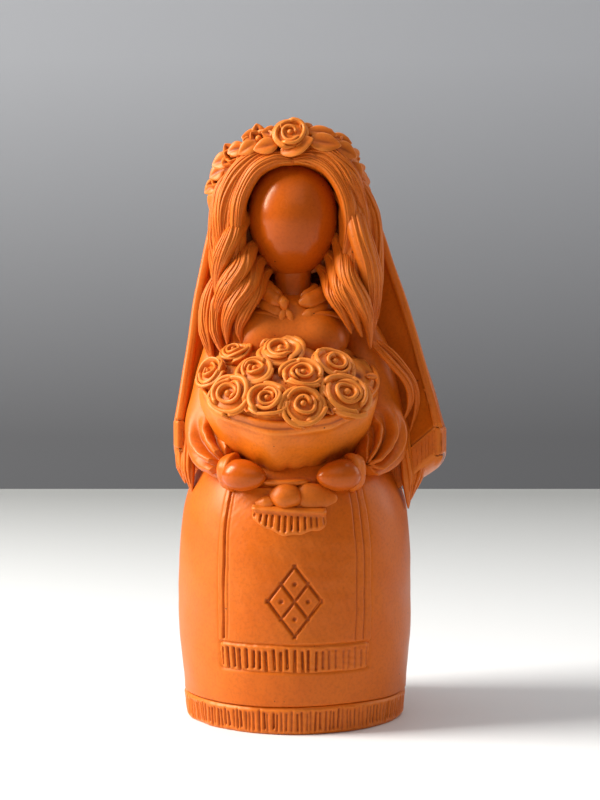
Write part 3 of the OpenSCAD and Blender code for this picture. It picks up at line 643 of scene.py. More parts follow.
bm = bmesh.new()
add_roll(bm, [(-3.2, -9.6, 106.0), (-2.8, -10.9, 104.4), (-2.4, -11.3, 102.4)], 1.4, 1.3, (0, -1, 0.3), 32, 32, 0.5)
add_roll(bm, [(-2.4, -11.1, 103), (-3.0, -11.5, 101.4), (-3.4, -12.0, 99.8)], 0.9, 0.6, (0, -1, 0.2), 24, 24, 0.4)
add_roll(bm, [(-2.2, -11.1, 103), (-1.2, -11.6, 101.2), (-0.6, -12.1, 99.6)], 0.9, 0.6, (0, -1, 0.2), 24, 24, 0.4)
collar_knot = finish_piece(bm, "collar_bow", gypsum_trim)
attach(collar_knot, "root")
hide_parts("collar_knot")

# ---- Hair ----
# Long hair with a middle parting: a round cap over the crown, and over it thick wavy locks that sweep round
# the face and down the chest. Each lock is a tapering roll with strands combed into the clay.
# Combed hair: paint with painted shade dark in the furrows, with small bubbles left by the casting
gypsum_hair = painted_casting(
    "painted_gypsum_hair", "722402", "C85C0A", "DC7C28", 0.42, relief=0.16, brush=0.3, pits=1.2,
)
cap_low, cap_high = box_of("hair_crown")
hair_r = (cap_high[0] - cap_low[0]) / 2
hair_at = np.array([(cap_low[0] + cap_high[0]) / 2, cap_high[1] - hair_r, cap_high[2] - hair_r])


def comb(turn, share, strands, deep, seed):
    """Strands combed along a lock: round backs between sharp furrows, of uneven width, which drift a little."""
    rng = np.random.default_rng(seed)
    a, b, c = rng.uniform(0, 6, 3)
    bent = turn + 0.16 * np.sin(2 * turn + a) + 0.09 * np.sin(5 * turn + b + 4 * share) + 0.25 * np.sin(3 * share + c)
    back = np.abs(np.cos(strands * bent / 2))
    fine = np.abs(np.cos(strands * 1.7 * bent / 2 + a + 2 * share))
    light = 0.65 + 0.35 * np.sin(3 * turn + 5 * share + c)
    return deep * light * (0.75 * back**0.7 + 0.25 * fine - 0.7)


def cap_form(share, turn):
    way = np.stack([np.sin(share * math.pi) * np.cos(turn), np.sin(share * math.pi) * np.sin(turn)], 1)
    way = np.concatenate([way, -np.cos(share * math.pi)[:, None]], 1)
    from_parting = np.arctan2(way[:, 1], np.abs(way[:, 0]) + 0.02)
    combed = comb(from_parting * 2, share, 34, 0.55, 50) * step(way[:, 2], -0.2, 0.3)
    points = way * (hair_r - 0.5 + combed)[:, None] * np.array([1, 1, 0.985])
    part = 0.7 * bump(points[:, 0], 0, 1.0) * step(points[:, 2], 8, 13)
    points -= way * part[:, None]
    points += hair_at
    arch = np.hypot(points[:, 0] - middle_x, np.maximum(points[:, 2] - head_middle[2] - 1, 0)) - 12.6
    open_face = (1 - step(arch, -0.8, 0.6)) * step(-points[:, 1], -1, 1)
    points[:, 1] += open_face * (-1.5 - points[:, 1])
    return points


bm = bmesh.new()
add_form(bm, 260, 150, cap_form)
crown = finish_piece(bm, "combed_crown", gypsum_hair)
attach(crown, "root")
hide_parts("hair_crown")


def away_from_head(spot):
    """The way straight out of the mass of hair at each point."""
    out = np.concatenate([spot[:, :2] - [hair_at[0], hair_at[1] + 4], np.full((len(spot), 1), 0.001)], 1)
    out[:, 2] += np.clip(spot[:, 2] - hair_at[2], 0, 30) * 0.9
    return out


def add_lock(bm, points, wide, thick, seed, root=0.3, tip=0.35, spiral=0.5, strands=None, first=0.1, last=0.9):
    """A tapering lock with fine raised strands combed over its outer side. The strands wander, cross, spiral a
    little round the lock and run together in a point at both ends."""
    rng = np.random.default_rng(seed)
    strands = strands or round(2.4 * (wide + thick))

    def size(share):
        return np.clip(share / root, 0, 1) ** 0.6 * np.clip((1 - share) / tip, 0, 1) ** 0.7

    def across(share, angle, lift):
        spot, _, out, aside = path_frame(points, share, away_from_head(smooth_path(points, share)))
        shape = size(share)
        side, rise = wide * shape * np.cos(angle), thick * shape * np.sin(angle)
        normal = aside * (thick * np.cos(angle))[:, None] + out * (wide * np.sin(angle))[:, None]
        normal /= np.linalg.norm(normal, axis=1)[:, None]
        return spot + aside * side[:, None] + out * rise[:, None] + normal * lift[:, None]

    add_form(bm, 36, 48, lambda share, turn: across(share * 0.985, turn, -0.05 * size(share * 0.985)))
    pitch = math.pi * (last - first) * (wide + thick) / 2 / strands
    for i in range(strands):
        middle = math.pi * (first + (last - first) * (i + rng.uniform(0.3, 0.7)) / strands)
        sway, phase, waves = rng.uniform(0.06, 0.22), rng.uniform(0, 6), rng.uniform(0.7, 1.8)
        start, end = rng.uniform(0.0, 0.12), rng.uniform(0.8, 1.0)
        half = pitch * rng.uniform(0.45, 0.85)
        proud = rng.uniform(-0.12, 0.12)

        def strand(share, turn):
            at = start + (end - start) * share
            angle = middle + spiral * (at - 0.5) + sway * np.sin(waves * 2 * math.pi * at + phase)
            thin = np.clip(share / 0.15, 0, 1) ** 0.6 * np.clip((1 - share) / 0.3, 0, 1) ** 0.6 * (0.4 + 0.6 * size(at))
            spread = angle + half * thin * np.cos(turn) / (0.35 + wide * size(at))
            return across(at, spread, (0.6 * half * np.sin(turn) + proud) * thin)

        add_form(bm, 8, 46, strand)


locks = {
    "left": [
        ([(2.6, -6.6, 138.6), (-0.8, -8.2, 139.3), (-4.8, -8.6, 139.5), (-9.7, -9.2, 136.8),
          (-13.1, -9.4, 131), (-14.4, -9.4, 125),
          (-14.6, -9.4, 118), (-14.2, -9.6, 111)], 2.2, 2.0),
        ([(0.2, -5.6, 141), (-7.6, -6.8, 140.8), (-13.2, -7.2, 136.8), (-16.5, -7.2, 131), (-17.8, -7.2, 124.5),
          (-18, -7.4, 117), (-18.4, -7.4, 109)], 2.5, 2.4),
        ([(-12, -1, 139), (-16.8, -2.4, 134), (-18.4, -3.2, 128), (-18.9, -3.6, 121), (-18.9, -4, 114),
          (-18.8, -4.6, 106)],
         2.2, 2.6),
        ([(-9.5, -2, 127.5), (-12.8, -5.6, 124), (-15.4, -10, 120.4), (-17.6, -10.2, 116), (-19, -8.8, 111.4),
          (-19.6, -7.4, 105)], 2.4, 2.2),
        ([(-8.2, -2, 120), (-10.8, -5.2, 117.4), (-13, -11, 113.4), (-16.2, -11.4, 108.8), (-18.6, -10, 104),
          (-19.8, -9, 98)], 2.6, 2.2),
        ([(-6, -1.5, 116.6), (-9.0, -4.6, 113.8), (-11, -11.2, 109), (-14.4, -12.4, 104.4), (-16.6, -12, 99.4),
          (-16.6, -11.4, 93.6)], 2.3, 2.1),
        ([(-4.4, -1, 113.4), (-7.4, -4.2, 110.8), (-9.4, -10.6, 106.4), (-12, -12.2, 102.2), (-13.6, -12.4, 98),
          (-13, -12.4, 94)], 1.7, 1.7),
        ([(-18.6, -4.4, 113), (-20.8, -5.8, 106.6), (-22, -6.4, 100.4), (-21.4, -7, 94.4),
          (-20, -8, 88.6)], 1.9, 1.9),
        ([(-17.2, -7.6, 110), (-19.2, -9, 103.4), (-19.4, -9.4, 97), (-17.6, -10, 91)], 1.7, 1.6),
        ([(-14, 3, 136), (-16.4, 2, 127), (-17.6, 1, 114), (-18, 0, 98)], 4, 4),
        ([(-12.0, -3.4, 137), (-15.4, -5.4, 128), (-16, -5.8, 119.6), (-16, -6.4, 111), (-15, -7, 101)], 4.5, 3.8),
    ],
    "right": [
        ([(-3.6, -6.6, 138.6), (-0.2, -8.2, 139.3), (3.9, -8.6, 139.6), (8.6, -9.4, 137),
          (12.1, -9.6, 131.4), (13.4, -9.6, 125), (12.8, -9.4, 118.6),
          (11.2, -8.8, 112)], 1.9, 2.0),
        ([(-0.8, -5.6, 141), (5.4, -7.4, 141.2), (10.8, -8.4, 138.2), (15, -8.2, 132.6),
          (18.4, -6.8, 124.4)], 2.9, 2.4),
        ([(9.6, -3, 132), (13.4, -6.4, 127.6), (16, -10.2, 120.6), (18.3, -9.4, 113), (19.4, -8.4, 105.6),
          (18.8, -8, 98)],
         3.0, 2.6),
        ([(8.6, -2.4, 123), (11.2, -5.6, 117.6), (12.8, -11.4, 111), (15.6, -12.2, 105.4),
          (17.9, -11.4, 100), (18.8, -10.2, 92.4)],
         2.5, 2.3),
        ([(6.6, -2, 118.4), (9.4, -5.0, 114), (10.8, -11.6, 108.4), (13.6, -12.6, 103.4),
          (16.8, -11.8, 95.4)], 2.1, 2.0),
        ([(4.6, -1.5, 114.4), (7.4, -4.4, 111), (8.8, -11, 106.6), (11.4, -12.4, 102.4),
          (14.2, -12.2, 96.4)], 1.6, 1.6),
        ([(12.6, -2.6, 137.6), (16.6, -3.4, 131.6), (18.6, -4, 124.6), (19.2, -4.6, 117),
          (19.2, -5.2, 109), (19.4, -6, 101.6),
          (19, -7, 95)], 2.4, 2.8),
        ([(13.4, 3, 136), (15.8, 2, 127), (17, 1, 114), (17.4, 0, 98)], 4, 4),
        ([(10.8, -3.4, 137), (14.4, -5.4, 128), (15, -6, 119), (15.4, -6.6, 111), (14.8, -7.4, 101)], 4.4, 3.8),
    ],
}
for name, side_locks in locks.items():
    bm = bmesh.new()
    for i, (path, wide, thick) in enumerate(side_locks):
        add_lock(bm, path, wide, thick, 60 + i, spiral=0.6 if name == "left" else -0.6)
    piece = finish_piece(bm, f"wavy_locks_{name}", gypsum_hair)
    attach(piece, "root")
    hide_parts(f"hair_{name}")

# ---- Veil ----
# A long veil falls from the crown down the back. Its free edges stand out at both sides as a thin wall with a
# rolled rim, and its right side, seen from the front, shows the smooth hollow inside.
veil_low, veil_high = box_of("veil")
fringe_low, fringe_high = box_of("veil_fringe")
crown_z = hair_at[2] + 2
crown_h = veil_high[2] - crown_z
veil_open = math.radians(104)
veil_corner_left = hair_at[0] - fringe_low[0] - 1.0
veil_corner_right = fringe_high[0] - hair_at[0]
veil_high_r = hair_r + 2.4
veil_fringe_h = 7.4
veil_foot = fringe_low[2]
veil_deep = float(skirt_r(np.array(veil_foot))) + 3.2


def veil_spot(angle, down, inset, fold=1.0):
    """A point on the veil: the angle round from the back, and the share of the way down, 0 to 1, where 0.35 is the
    widest part of the crown."""
    crown_part = 0.35
    fall = np.clip((down - crown_part) / (1 - crown_part), 0, 1)
    a = angle * (0.8 + 0.2 * fall)
    corner = np.where(a > 0, veil_corner_right, veil_corner_left) * 1.004
    wide = veil_high_r + (corner - veil_high_r) * fall**0.9
    deep = veil_high_r - 2 + (veil_deep - veil_high_r + 2) * fall
    r = 1 / np.sqrt((np.sin(a) / wide) ** 2 + (np.cos(a) / deep) ** 2)
    back = 1 - step(np.abs(a), 1.15, 1.5)
    r = r + fold * back * fall**0.7 * (0.75 * np.sin(9 * a + 1.1) + 0.35 * np.sin(17 * a + 0.4))
    r = r - 0.6 * back * fall * fold
    round_over = np.clip(down / crown_part, 0, 1) * math.pi / 2
    foot = veil_foot + np.where(a < 0, 11.6, 10) * step(np.abs(np.degrees(a)), 58, 98)
    z = crown_z + (crown_h - inset) * np.cos(round_over) - fall * (crown_z - foot - veil_fringe_h)
    r = (r - inset) * np.sin(round_over)
    return np.stack([hair_at[0] + r * np.sin(a), hair_at[1] * (1 - fall) + r * np.cos(a), z], 1), foot


def fill_behind(spots, angle, down, inset, lip):
    """Brings the veil's inner side forward to a shallow hollow between its rim and the body, since the casting is
    solid behind it, and lowers its foot slowly from the front corner inwards."""
    rims, _ = veil_spot(np.where(angle < 0, -veil_open, veil_open), down, inset)
    inward = np.maximum(np.abs(rims[:, 0] - hair_at[0]) - np.abs(spots[:, 0] - hair_at[0]), 0)
    web = rims[:, 1] + 0.28 * inward + lip * (1 - np.exp(-inward / 1.6))
    filled = web < spots[:, 1]
    spots[:, 1] = np.where(filled, web, spots[:, 1])
    low = rims[:, 2] - 0.9 * inward
    spots[:, 2] = np.where(filled & (down > 0.5), np.maximum(spots[:, 2], low), spots[:, 2])
    return spots


def veil_face(u, v, side):
    angle = (2 * u - 1) * veil_open
    down = 1 - v * 0.9999
    edge = np.minimum(u, 1 - u) * 2 * veil_open * 26
    rim = 1 - step(edge, 0, 2.2)
    wall = 1.0 + 1.2 * rim
    skin = 0.5 * rim - 1.2 * (1 - np.sqrt(np.clip(edge / 0.9, 0, 1)))
    inset = -skin * 0.6 if side else wall + skin
    spots, _ = veil_spot(angle, down, inset)
    if side == 0:
        spots = fill_behind(spots, angle, down, wall, 1.0)
    drift = 0.18 * uneven(spots, 15, 71) * step(down, 0.05, 0.3)
    return spots + drift[:, None] * np.stack([np.sin(angle), np.cos(angle), np.zeros(len(u))], 1)


bm = bmesh.new()
add_plate(bm, 210, 140, veil_face)
veil = finish_piece(bm, "draped_veil", gypsum_cloth)
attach(veil, "root")
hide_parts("veil")

# ---- Veil fringe ----
# A thicker band along the veil's lower edge, cut with upright lines inside and out to make the fringe.
fringe_cuts = 84
rng = np.random.default_rng(81)
tassel_shift = rng.uniform(-0.2, 0.2, fringe_cuts)
tassel_depth = rng.uniform(0.35, 0.7, fringe_cuts)


def veil_fringe_face(u, v, side):
    angle = (2 * u - 1) * veil_open
    spots, foot = veil_spot(angle, np.ones(len(u)), 0.0)
    lean = u * fringe_cuts
    index = np.clip(np.floor(lean).astype(int), 0, fringe_cuts - 1)
    away = np.abs(lean - index - 0.5 - tassel_shift[index] + 0.25 * (v - 0.5))
    ends = step(v, 0.06, 0.2) * step(1 - v, 0.14, 0.26)
    cut = tassel_depth[index] * ends * (1 - step(away, 0.05, 0.32)) * step(np.minimum(u, 1 - u), 0.024, 0.036)
    rolled = 0.8 * (1 - np.sqrt(np.clip(np.minimum(v, 1 - v) / 0.09, 0, 1)))
    edge = np.minimum(u, 1 - u) * 2 * veil_open * 26
    rolled = rolled + 0.8 * (1 - np.sqrt(np.clip(edge / 1.0, 0, 1)))
    inset = (cut + rolled) if side else 2.2 - cut - rolled
    middle = np.array([hair_at[0], 0.0])
    way = spots[:, :2] - middle
    way /= np.linalg.norm(way, axis=1)[:, None]
    points = spots.copy()
    points[:, :2] -= way * (inset - 0.3)[:, None]
    if side == 0:
        points = fill_behind(points, angle, np.ones(len(u)), inset - 0.3, 0.4)
    points[:, 2] += veil_fringe_h * (v - 1) + 0.25 * np.sin(u * 47) * (1 - v)
    return points


bm = bmesh.new()
add_plate(bm, fringe_cuts * 8, 26, veil_fringe_face)
veil_fringe = finish_piece(bm, "cut_veil_fringe", gypsum_trim)
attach(veil_fringe, "root")
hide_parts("veil_fringe")

# ---- Veil folds ----
# Beside each arm a narrow fold of the veil hangs forward and ends in a point below the sleeve. On the right a
# thin strip of it curls round the outside of the arm.
folds = {
    "left": [
        ([(-25.5, -5, 76), (-26.0, -6.2, 69), (-26.4, -7.4, 63), (-25.6, -8.0, 56.5)], 2.4, 1.3),
        ([(-28.4, -2.5, 74), (-28.2, -3.6, 66), (-27.4, -5.0, 58.6)], 2.0, 1.4),
    ],
    "right": [
        ([(26.6, -4.4, 76), (27.4, -5.6, 69), (28.2, -6, 61), (28.5, -6, 52.2)], 2.9, 1.3),
        ([(30.0, -2.6, 74), (30.6, -3.6, 67), (30.4, -4.4, 61), (29.0, -5.2, 54.4)], 2.4, 1.4),
        ([(18.6, -9, 95), (23.2, -9.4, 90), (27.6, -8.8, 84.6), (28.6, -8.2, 79.6), (26.6, -8.6, 74)], 1.1, 0.8),
        ([(20.2, -7.8, 95), (25.2, -7.8, 90.4), (29.4, -7.0, 84.2), (30.2, -6.6, 78.4), (28.4, -7.0, 71)],
          0.8, 0.7),
    ],
}
for name, strips in folds.items():
    bm = bmesh.new()
    for i, (path, wide, thick) in enumerate(strips):
        add_lock(bm, path, wide, thick, 90 + i, 0.06, 0.3, 0.2, 3, 0.2, 0.8)
    piece = finish_piece(bm, f"hanging_fold_{name}", gypsum_cloth)
    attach(piece, "root")
    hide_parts(f"veil_fold_{name}")


# ---- Roses of the wreath and the bouquet ----
# Every flower is built up from thin walls of clay: a round bud, a wall wound round it two or three times, and
# open petals with rolled lips that overlap each other.
# Petals: brushed paint with a painted highlight on their lips and painted shade in the hollows between them, with small
# bubbles left by the casting
gypsum_flowers = painted_casting(
    "painted_gypsum_flowers", "7A2A02", "CA600E", "DE8230", 0.4, relief=0.2, brush=0.3, pits=1.2,
)


def add_wall(bm, radii, turns, foot, top, thick, flare, seat, tip=0.0, along=60, around=18):
    """A petal: an upright wall on part of a ring, from one radius to another, its lip rolled out by flare. seat turns
    the flower's own place into the doll's. tip pinches its middle up to a point."""

    def place(share, turn):
        angle = turns[0] + (turns[1] - turns[0]) * share
        r = radii[0] + (radii[1] - radii[0]) * share
        r = r * (1 + 0.05 * np.sin(2 * angle + 7 * foot + top) + 0.04 * np.sin(3.3 * angle + 5 * top))
        ends = np.sqrt(np.clip(np.minimum(share, 1 - share) / 0.09, 0, 1))
        across, up = np.cos(turn), np.sin(turn)
        across = np.sign(across) * np.abs(across) ** 0.7
        high = 0.5 + 0.5 * np.sign(up) * np.abs(up) ** 0.8
        lip = 1 + 0.55 * step(high, 0.6, 0.95)
        edge = top - (top - foot) * 0.45 * (1 - ends) + tip * np.maximum(0, 1 - np.abs(2 * share - 1) * 2.2)
        edge = edge + 0.09 * (top - foot) * np.sin(1.7 * angle + 3 * top)
        r = r + 0.5 * thick * lip * across * ends + flare * high**2.2
        z = foot + (edge - foot) * high - 0.35 * np.maximum(flare, 0) * step(high, 0.75, 1) * (across > 0)
        return seat(np.stack([r * np.cos(angle), r * np.sin(angle), z], 1))

    add_form(bm, around, along, place)


def seat_at(spot, up, spin):
    """Makes the function that stands a flower at a spot, its axis along up, turned by spin."""
    up = np.array(up, float) / np.linalg.norm(up)
    side = np.cross(up, [0.0, 1.0, 0.2])
    side /= np.linalg.norm(side)
    ahead = np.cross(up, side)
    c, s = math.cos(spin), math.sin(spin)
    axes = np.array([side * c + ahead * s, ahead * c - side * s, up])
    return lambda points: points @ axes + spot


def add_rose(bm, spot, up, r, high, seed, petals=5, wound=2.2, squeeze=1.0):
    """A rose of radius r that stands high above its foot."""
    rng = np.random.default_rng(seed)
    plain = seat_at(np.array(spot), up, rng.uniform(0, 6))
    tilt = rng.uniform(-0.12, 0.12, 2)

    def seat(points):
        points = points * [1, squeeze, 1]
        points[:, 2] += (points[:, 0] * tilt[0] + points[:, 1] * tilt[1]) * np.clip(points[:, 2] / high, 0, 1)
        return plain(points)

    def base(share, turn):
        return seat(np.stack([
            0.95 * r * np.sin(share * math.pi) ** 0.7 * np.cos(turn),
            0.95 * r * np.sin(share * math.pi) ** 0.7 * np.sin(turn),
            high * (0.3 - 0.42 * np.cos(share * math.pi)),
        ], 1))

    def bud(share, turn):
        size = 0.17 * r
        return seat(np.stack([
            size * np.sin(share * math.pi) * np.cos(turn) + 0.03 * r,
            size * np.sin(share * math.pi) * np.sin(turn),
            0.72 * high - 0.26 * high * np.cos(share * math.pi),
        ], 1))

    add_form(bm, 36, 24, base)
    add_form(bm, 18, 12, bud)
    thick = 0.15 * r
    start = rng.uniform(0, 6)
    add_wall(
        bm, (0.24 * r, 0.54 * r), (start, start + wound * 2 * math.pi), 0.2 * high, 0.98 * high, thick, 0.07 * r, seat,
        along=96,
    )
    for ring, (radius, tall, share, spread) in enumerate(((0.62, 0.9, petals - 2, 1.3), (0.8, 0.74, petals - 1, 1.4))):
        for i in range(share):
            middle = start + 0.7 * ring + (i + rng.uniform(-0.22, 0.22)) * 2 * math.pi / share
            half = math.pi / share * spread * rng.uniform(0.85, 1.15)
            inner = radius * rng.uniform(0.94, 1.03)
            outer = inner + rng.choice([-0.1, 0.1, 0.14])
            add_wall(
                bm, (inner * r, outer * r), (middle - half, middle + half), (0.02 - 0.16 * ring) * high,
                high * tall * rng.uniform(0.86, 1.08), thick * rng.uniform(1.0, 1.5), r * rng.uniform(0.14, 0.28), seat,
                0.04 * high, 44,
            )


# ---- Wreath band and leaves ----
# A twisted band round the front of the head holds the wreath together, and pointed leaves fill in between the
# flowers.
wreath_tilt = math.radians(50)
wreath_rise = 5
wreath_t = 4.2
wreath_r = math.sqrt((hair_r + wreath_t / 4) ** 2 - wreath_rise**2)
wreath_axis = np.array([0, math.sin(wreath_tilt), math.cos(wreath_tilt)])
wreath_ahead = np.array([0, -math.cos(wreath_tilt), math.sin(wreath_tilt)])


def on_wreath(angle, out=0.0, rise=0.0):
    """A point on the wreath: the angle round from the front, the distance out of its middle line and along its axis."""
    r = wreath_r + out
    ring = math.sin(angle) * np.array([1.0, 0, 0]) + math.cos(angle) * wreath_ahead
    return hair_at + wreath_axis * (wreath_rise + rise) + ring * r


bm = bmesh.new()
for twist in range(3):
    path = []
    for i in range(41):
        angle = math.radians(-94 + 188 * i / 40)
        phase = twist * 2 * math.pi / 3 + angle * 7
        path.append(on_wreath(angle, 0.9 * math.cos(phase), 0.9 * math.sin(phase)))
    add_roll(bm, path, 1.2, 1.2, (0.0, -0.7, 0.7), 20, 240, 0.01)
band = finish_piece(bm, "twisted_wreath_band", gypsum_flowers)
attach(band, "root")
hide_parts("wreath_band")


def add_leaf(bm, spot, tip_way, face_way, length, wide, thick, curl, crease=0.35):
    """A pointed leaf or petal that starts at spot, points along tip_way and faces face_way, with a crease down its
    middle and its tip curled."""
    tip_way = np.array(tip_way, float) / np.linalg.norm(tip_way)
    face_way = np.array(face_way, float) - tip_way * np.dot(face_way, tip_way)
    face_way /= np.linalg.norm(face_way)
    aside = np.cross(tip_way, face_way)

    def place(share, turn):
        shape = np.sin(np.clip(share, 0, 1) ** 0.85 * math.pi) ** 0.75
        across = wide * shape * np.cos(turn)
        rise = thick * np.sqrt(shape + 0.02) * np.sin(turn) * np.sin(share * math.pi) ** 0.3
        rise = rise + curl * share**2 + 0.25 * across**2 / wide
        rise = rise - crease * np.exp(-((across / (0.25 * wide)) ** 2)) * shape
        return np.array(spot) + tip_way * (share * length)[:, None] + aside * across[:, None] + face_way * rise[:, None]

    add_form(bm, 28, 28, place)


to_front = np.array([0, -1.0, 0.25])
bm = bmesh.new()
rng = np.random.default_rng(101)
for i in range(28):
    angle = math.radians(-91 + 182 * i / 27) + rng.uniform(-0.03, 0.03)
    ring = on_wreath(angle, 1) - on_wreath(angle, 0)
    along = on_wreath(angle + 0.02) - on_wreath(angle - 0.02)
    along = along / np.linalg.norm(along) * (1 if i % 2 else -1)
    rise = -0.75 if i % 2 else 0.6
    spot = on_wreath(angle, 0.6 + rise - 2.4 * step(angle, 0.7, 1.4), 0.8) + to_front * 0.8
    add_leaf(
        bm, spot, along + ring * rise * rng.uniform(0.3, 0.9), to_front + ring * 0.7 - along * 0.25,
        rng.uniform(4.6, 6.0), rng.uniform(2.1, 2.6), 0.8, rng.uniform(0.3, 1.1),
    )
# The long flat petals beside the rose in front
for spot, way, length, wide in (
    ((-3.6, -9.6, 141.0), (1.0, -0.05, 0.4), 9.0, 2.7), ((3.2, -9.0, 144.2), (1.0, 0.1, -0.2), 8.4, 2.6),
    ((3.0, -7.8, 146.6), (1.0, 0.15, -0.2), 7.6, 1.9), ((9.2, -7.6, 143.2), (1.0, 0.3, -0.55), 7.0, 2.4),
    ((8.6, -6.4, 145.4), (1.0, 0.3, -0.4), 6.0, 1.7), ((13.6, -5.4, 139.2), (0.55, 0.3, -1.0), 5.6, 2.0),
    ((-4.0, -9.0, 143.4), (-1.0, 0.1, -0.3), 6.4, 2.3), ((-9.4, -8.0, 143.8), (-1.0, 0.2, -0.75), 5.4, 2.0),
):
    add_leaf(bm, spot, way, (0.1, -1.0, 0.5), length, wide, 0.9, 0.7, 0.25)
leaves = finish_piece(bm, "wreath_petals", gypsum_flowers)
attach(leaves, "root")
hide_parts("wreath_leaves")


# ---- Wreath flowers ----
# Seven flowers stand on the band: a rose over the parting, and three open flowers of folded, pointed petals to
# each side, cupped on the doll's right side and flatter on its left.
def add_open_flower(bm, spot, up, r, cup, petals, seed):
    """A flower of thick pointed petals round a small bud. cup is how far the petals stand up instead of out."""
    rng = np.random.default_rng(seed)
    seat = seat_at(np.array(spot), up, rng.uniform(0, 6))
    up = np.array(up, float) / np.linalg.norm(up)
    for ring in range(2):
        for i in range(petals):
            turn = (i + 0.5 * ring + rng.uniform(-0.12, 0.12)) * 2 * math.pi / petals
            out = seat(np.array([[math.cos(turn), math.sin(turn), 0]]))[0] - spot
            lift = (cup + 0.55 * (1 - ring)) * rng.uniform(0.85, 1.15)
            add_leaf(
                bm, spot + out * 0.15 * r, out + up * lift, up * 0.9 - out * lift, r * (0.8 + 0.22 * ring),
                r * rng.uniform(0.4, 0.5), 0.19 * r, 0.12 * r, 0.12 * r,
            )
    add_form(bm, 16, 12, lambda share, turn: seat(np.stack([
        0.2 * r * np.sin(share * math.pi) * np.cos(turn),
        0.2 * r * np.sin(share * math.pi) * np.sin(turn),
        0.42 * r - 0.22 * r * np.cos(share * math.pi),
    ], 1)))


wreath_angles = [0, -26, 26, -51, 51, -76, 76]
for i, degrees in enumerate(wreath_angles):
    angle = math.radians(degrees)
    ring = on_wreath(angle, 1) - on_wreath(angle, 0)
    up = ring * 0.55 + to_front * 0.75
    spot = on_wreath(angle, 1.0, 0.8) + to_front * 0.8
    bm = bmesh.new()
    if i == 0:
        add_rose(bm, spot - [0.6, 0.6, 0.8], up, 4.4, 3.4, 120, 4, 1.0)
    elif degrees < 0:
        add_open_flower(bm, spot - ring * 0.5, up, 4.5 + 0.01 * degrees, 0.75, 4, 120 + i)
    else:
        add_open_flower(bm, spot - ring * (1.2 + 0.03 * degrees), up, 4.4 - 0.01 * degrees, 0.4, 4, 120 + i)
    piece = finish_piece(bm, f"wreath_flower_{i + 1}", gypsum_flowers)
    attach(piece, "root")
    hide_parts(f"wreath_rose_{i + 1}")

# ---- Bouquet wrap ----
# A smooth bowl of folded paper holds the bouquet: soft upright planes, a thin double rolled rim, and short
# pleats where it is gathered at its foot.
wrap_low, wrap_high = box_of("bouquet_wrap")
tilt = math.radians(26)
wrap_h = 20
rim_r = (wrap_high[0] - wrap_low[0]) / 2 - 0.25
foot_r = rim_r * 0.36
rim_at = np.array([
    (wrap_low[0] + wrap_high[0]) / 2,
    wrap_low[1] + rim_r * math.cos(tilt) + 0.45,
    wrap_low[2] + wrap_h * math.cos(tilt) + foot_r * math.sin(tilt),
])


def in_bouquet(points):
    """From the bouquet's own frame, with the rim's middle at 0 and +Z out of the flowers, to the doll's."""
    points = np.atleast_2d(np.array(points, float))
    y = points[:, 1] * math.cos(tilt) - points[:, 2] * math.sin(tilt)
    z = points[:, 1] * math.sin(tilt) + points[:, 2] * math.cos(tilt)
    return np.stack([points[:, 0], y, z], 1) + rim_at


bowl_h = wrap_h + 2.6
bowl = [
    (foot_r + (rim_r - foot_r) * math.sin(a) ** 1.12, -bowl_h * math.cos(a))
    for a in np.linspace(0, math.pi / 2, 60)
]
lip = [(rim_r - 0.45 + 0.6 * math.cos(a), 0.3 + 0.6 * math.sin(a)) for a in np.linspace(-0.4, math.pi * 1.15, 14)]
inside = [(r - 1.5, max(z, -wrap_h + 1.5)) for r, z in bowl[:-1:6]][::-1]
wrap_outline = np.array([(0, -bowl_h)] + bowl[:-1] + lip + inside + [(0, -wrap_h + 1.5)])
pleats = [(-0.75, 0.5), (-0.38, 0.7), (-0.06, 0.9), (0.2, 0.6), (0.5, 0.8), (0.85, 0.5), (1.5, 0.5), (-1.4, 0.5)]


def wrap_form(share, turn):
    at = share * (len(wrap_outline) - 1)
    near = np.interp(at, range(len(wrap_outline)), wrap_outline[:, 0])
    z = np.interp(at, range(len(wrap_outline)), wrap_outline[:, 1])
    spots = turned(near, turn, z)
    high = z / bowl_h + 1
    outer = step(near, foot_r * 0.5, foot_r)
    body = step(high, 0.02, 0.25) * (1 - step(high, 0.8, 1.0)) * outer
    planes = 0.55 * np.cos(5 * turn + 0.6) + 0.28 * np.cos(9 * turn + 2) - 0.2 * np.abs(np.sin(4.5 * turn + 0.9))
    grown = near + body * planes
    for angle, deep in pleats:
        away = (turn - angle - 0.12 * high) / (0.05 + 0.05 * high)
        grown -= deep * np.exp(-(away**2)) * step(0.62 - high, 0, 0.4) * outer
    grown += (0.3 * bump(high, 0.9, 0.04) * (0.6 + 0.4 * np.sin(2 * turn + 1)) - 0.16 * bump(high, 0.95, 0.03)) * outer
    grown += 0.3 * np.sin(5 * turn + 0.7) * step(high, 0.7, 1) + 0.18 * uneven(spots, 8, 130) * outer
    z = z + step(high, 0.75, 1) * (0.3 * np.sin(3 * turn + 0.5) + 0.2 * np.sin(8 * turn))
    return in_bouquet(turned(grown, turn, z))


bm = bmesh.new()
add_form(bm, 260, len(wrap_outline) - 1, wrap_form)
# The gathered foot below the bowl
ring = [
    in_bouquet([(foot_r * 0.98 * math.sin(a), -foot_r * 0.98 * math.cos(a), -bowl_h + 0.1)])[0]
    for a in np.linspace(-2.2, 2.2, 17)
]
add_roll(bm, ring, 0.7, 0.7, (0, -0.3, -1), 18, 80, 0.1)
# The paper of the wrap: a smoother coat, in colours lighter than the cloth's as painted light on the bowl
gypsum_wrap = painted_casting(
    "painted_gypsum_wrap", "8A3202", "D86A0C", "E68432", 0.36, relief=0.12, brush=0.3, pits=1.0,
)
wrap = finish_piece(bm, "folded_bouquet_wrap", gypsum_wrap)
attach(wrap, "root")
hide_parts("bouquet_wrap")

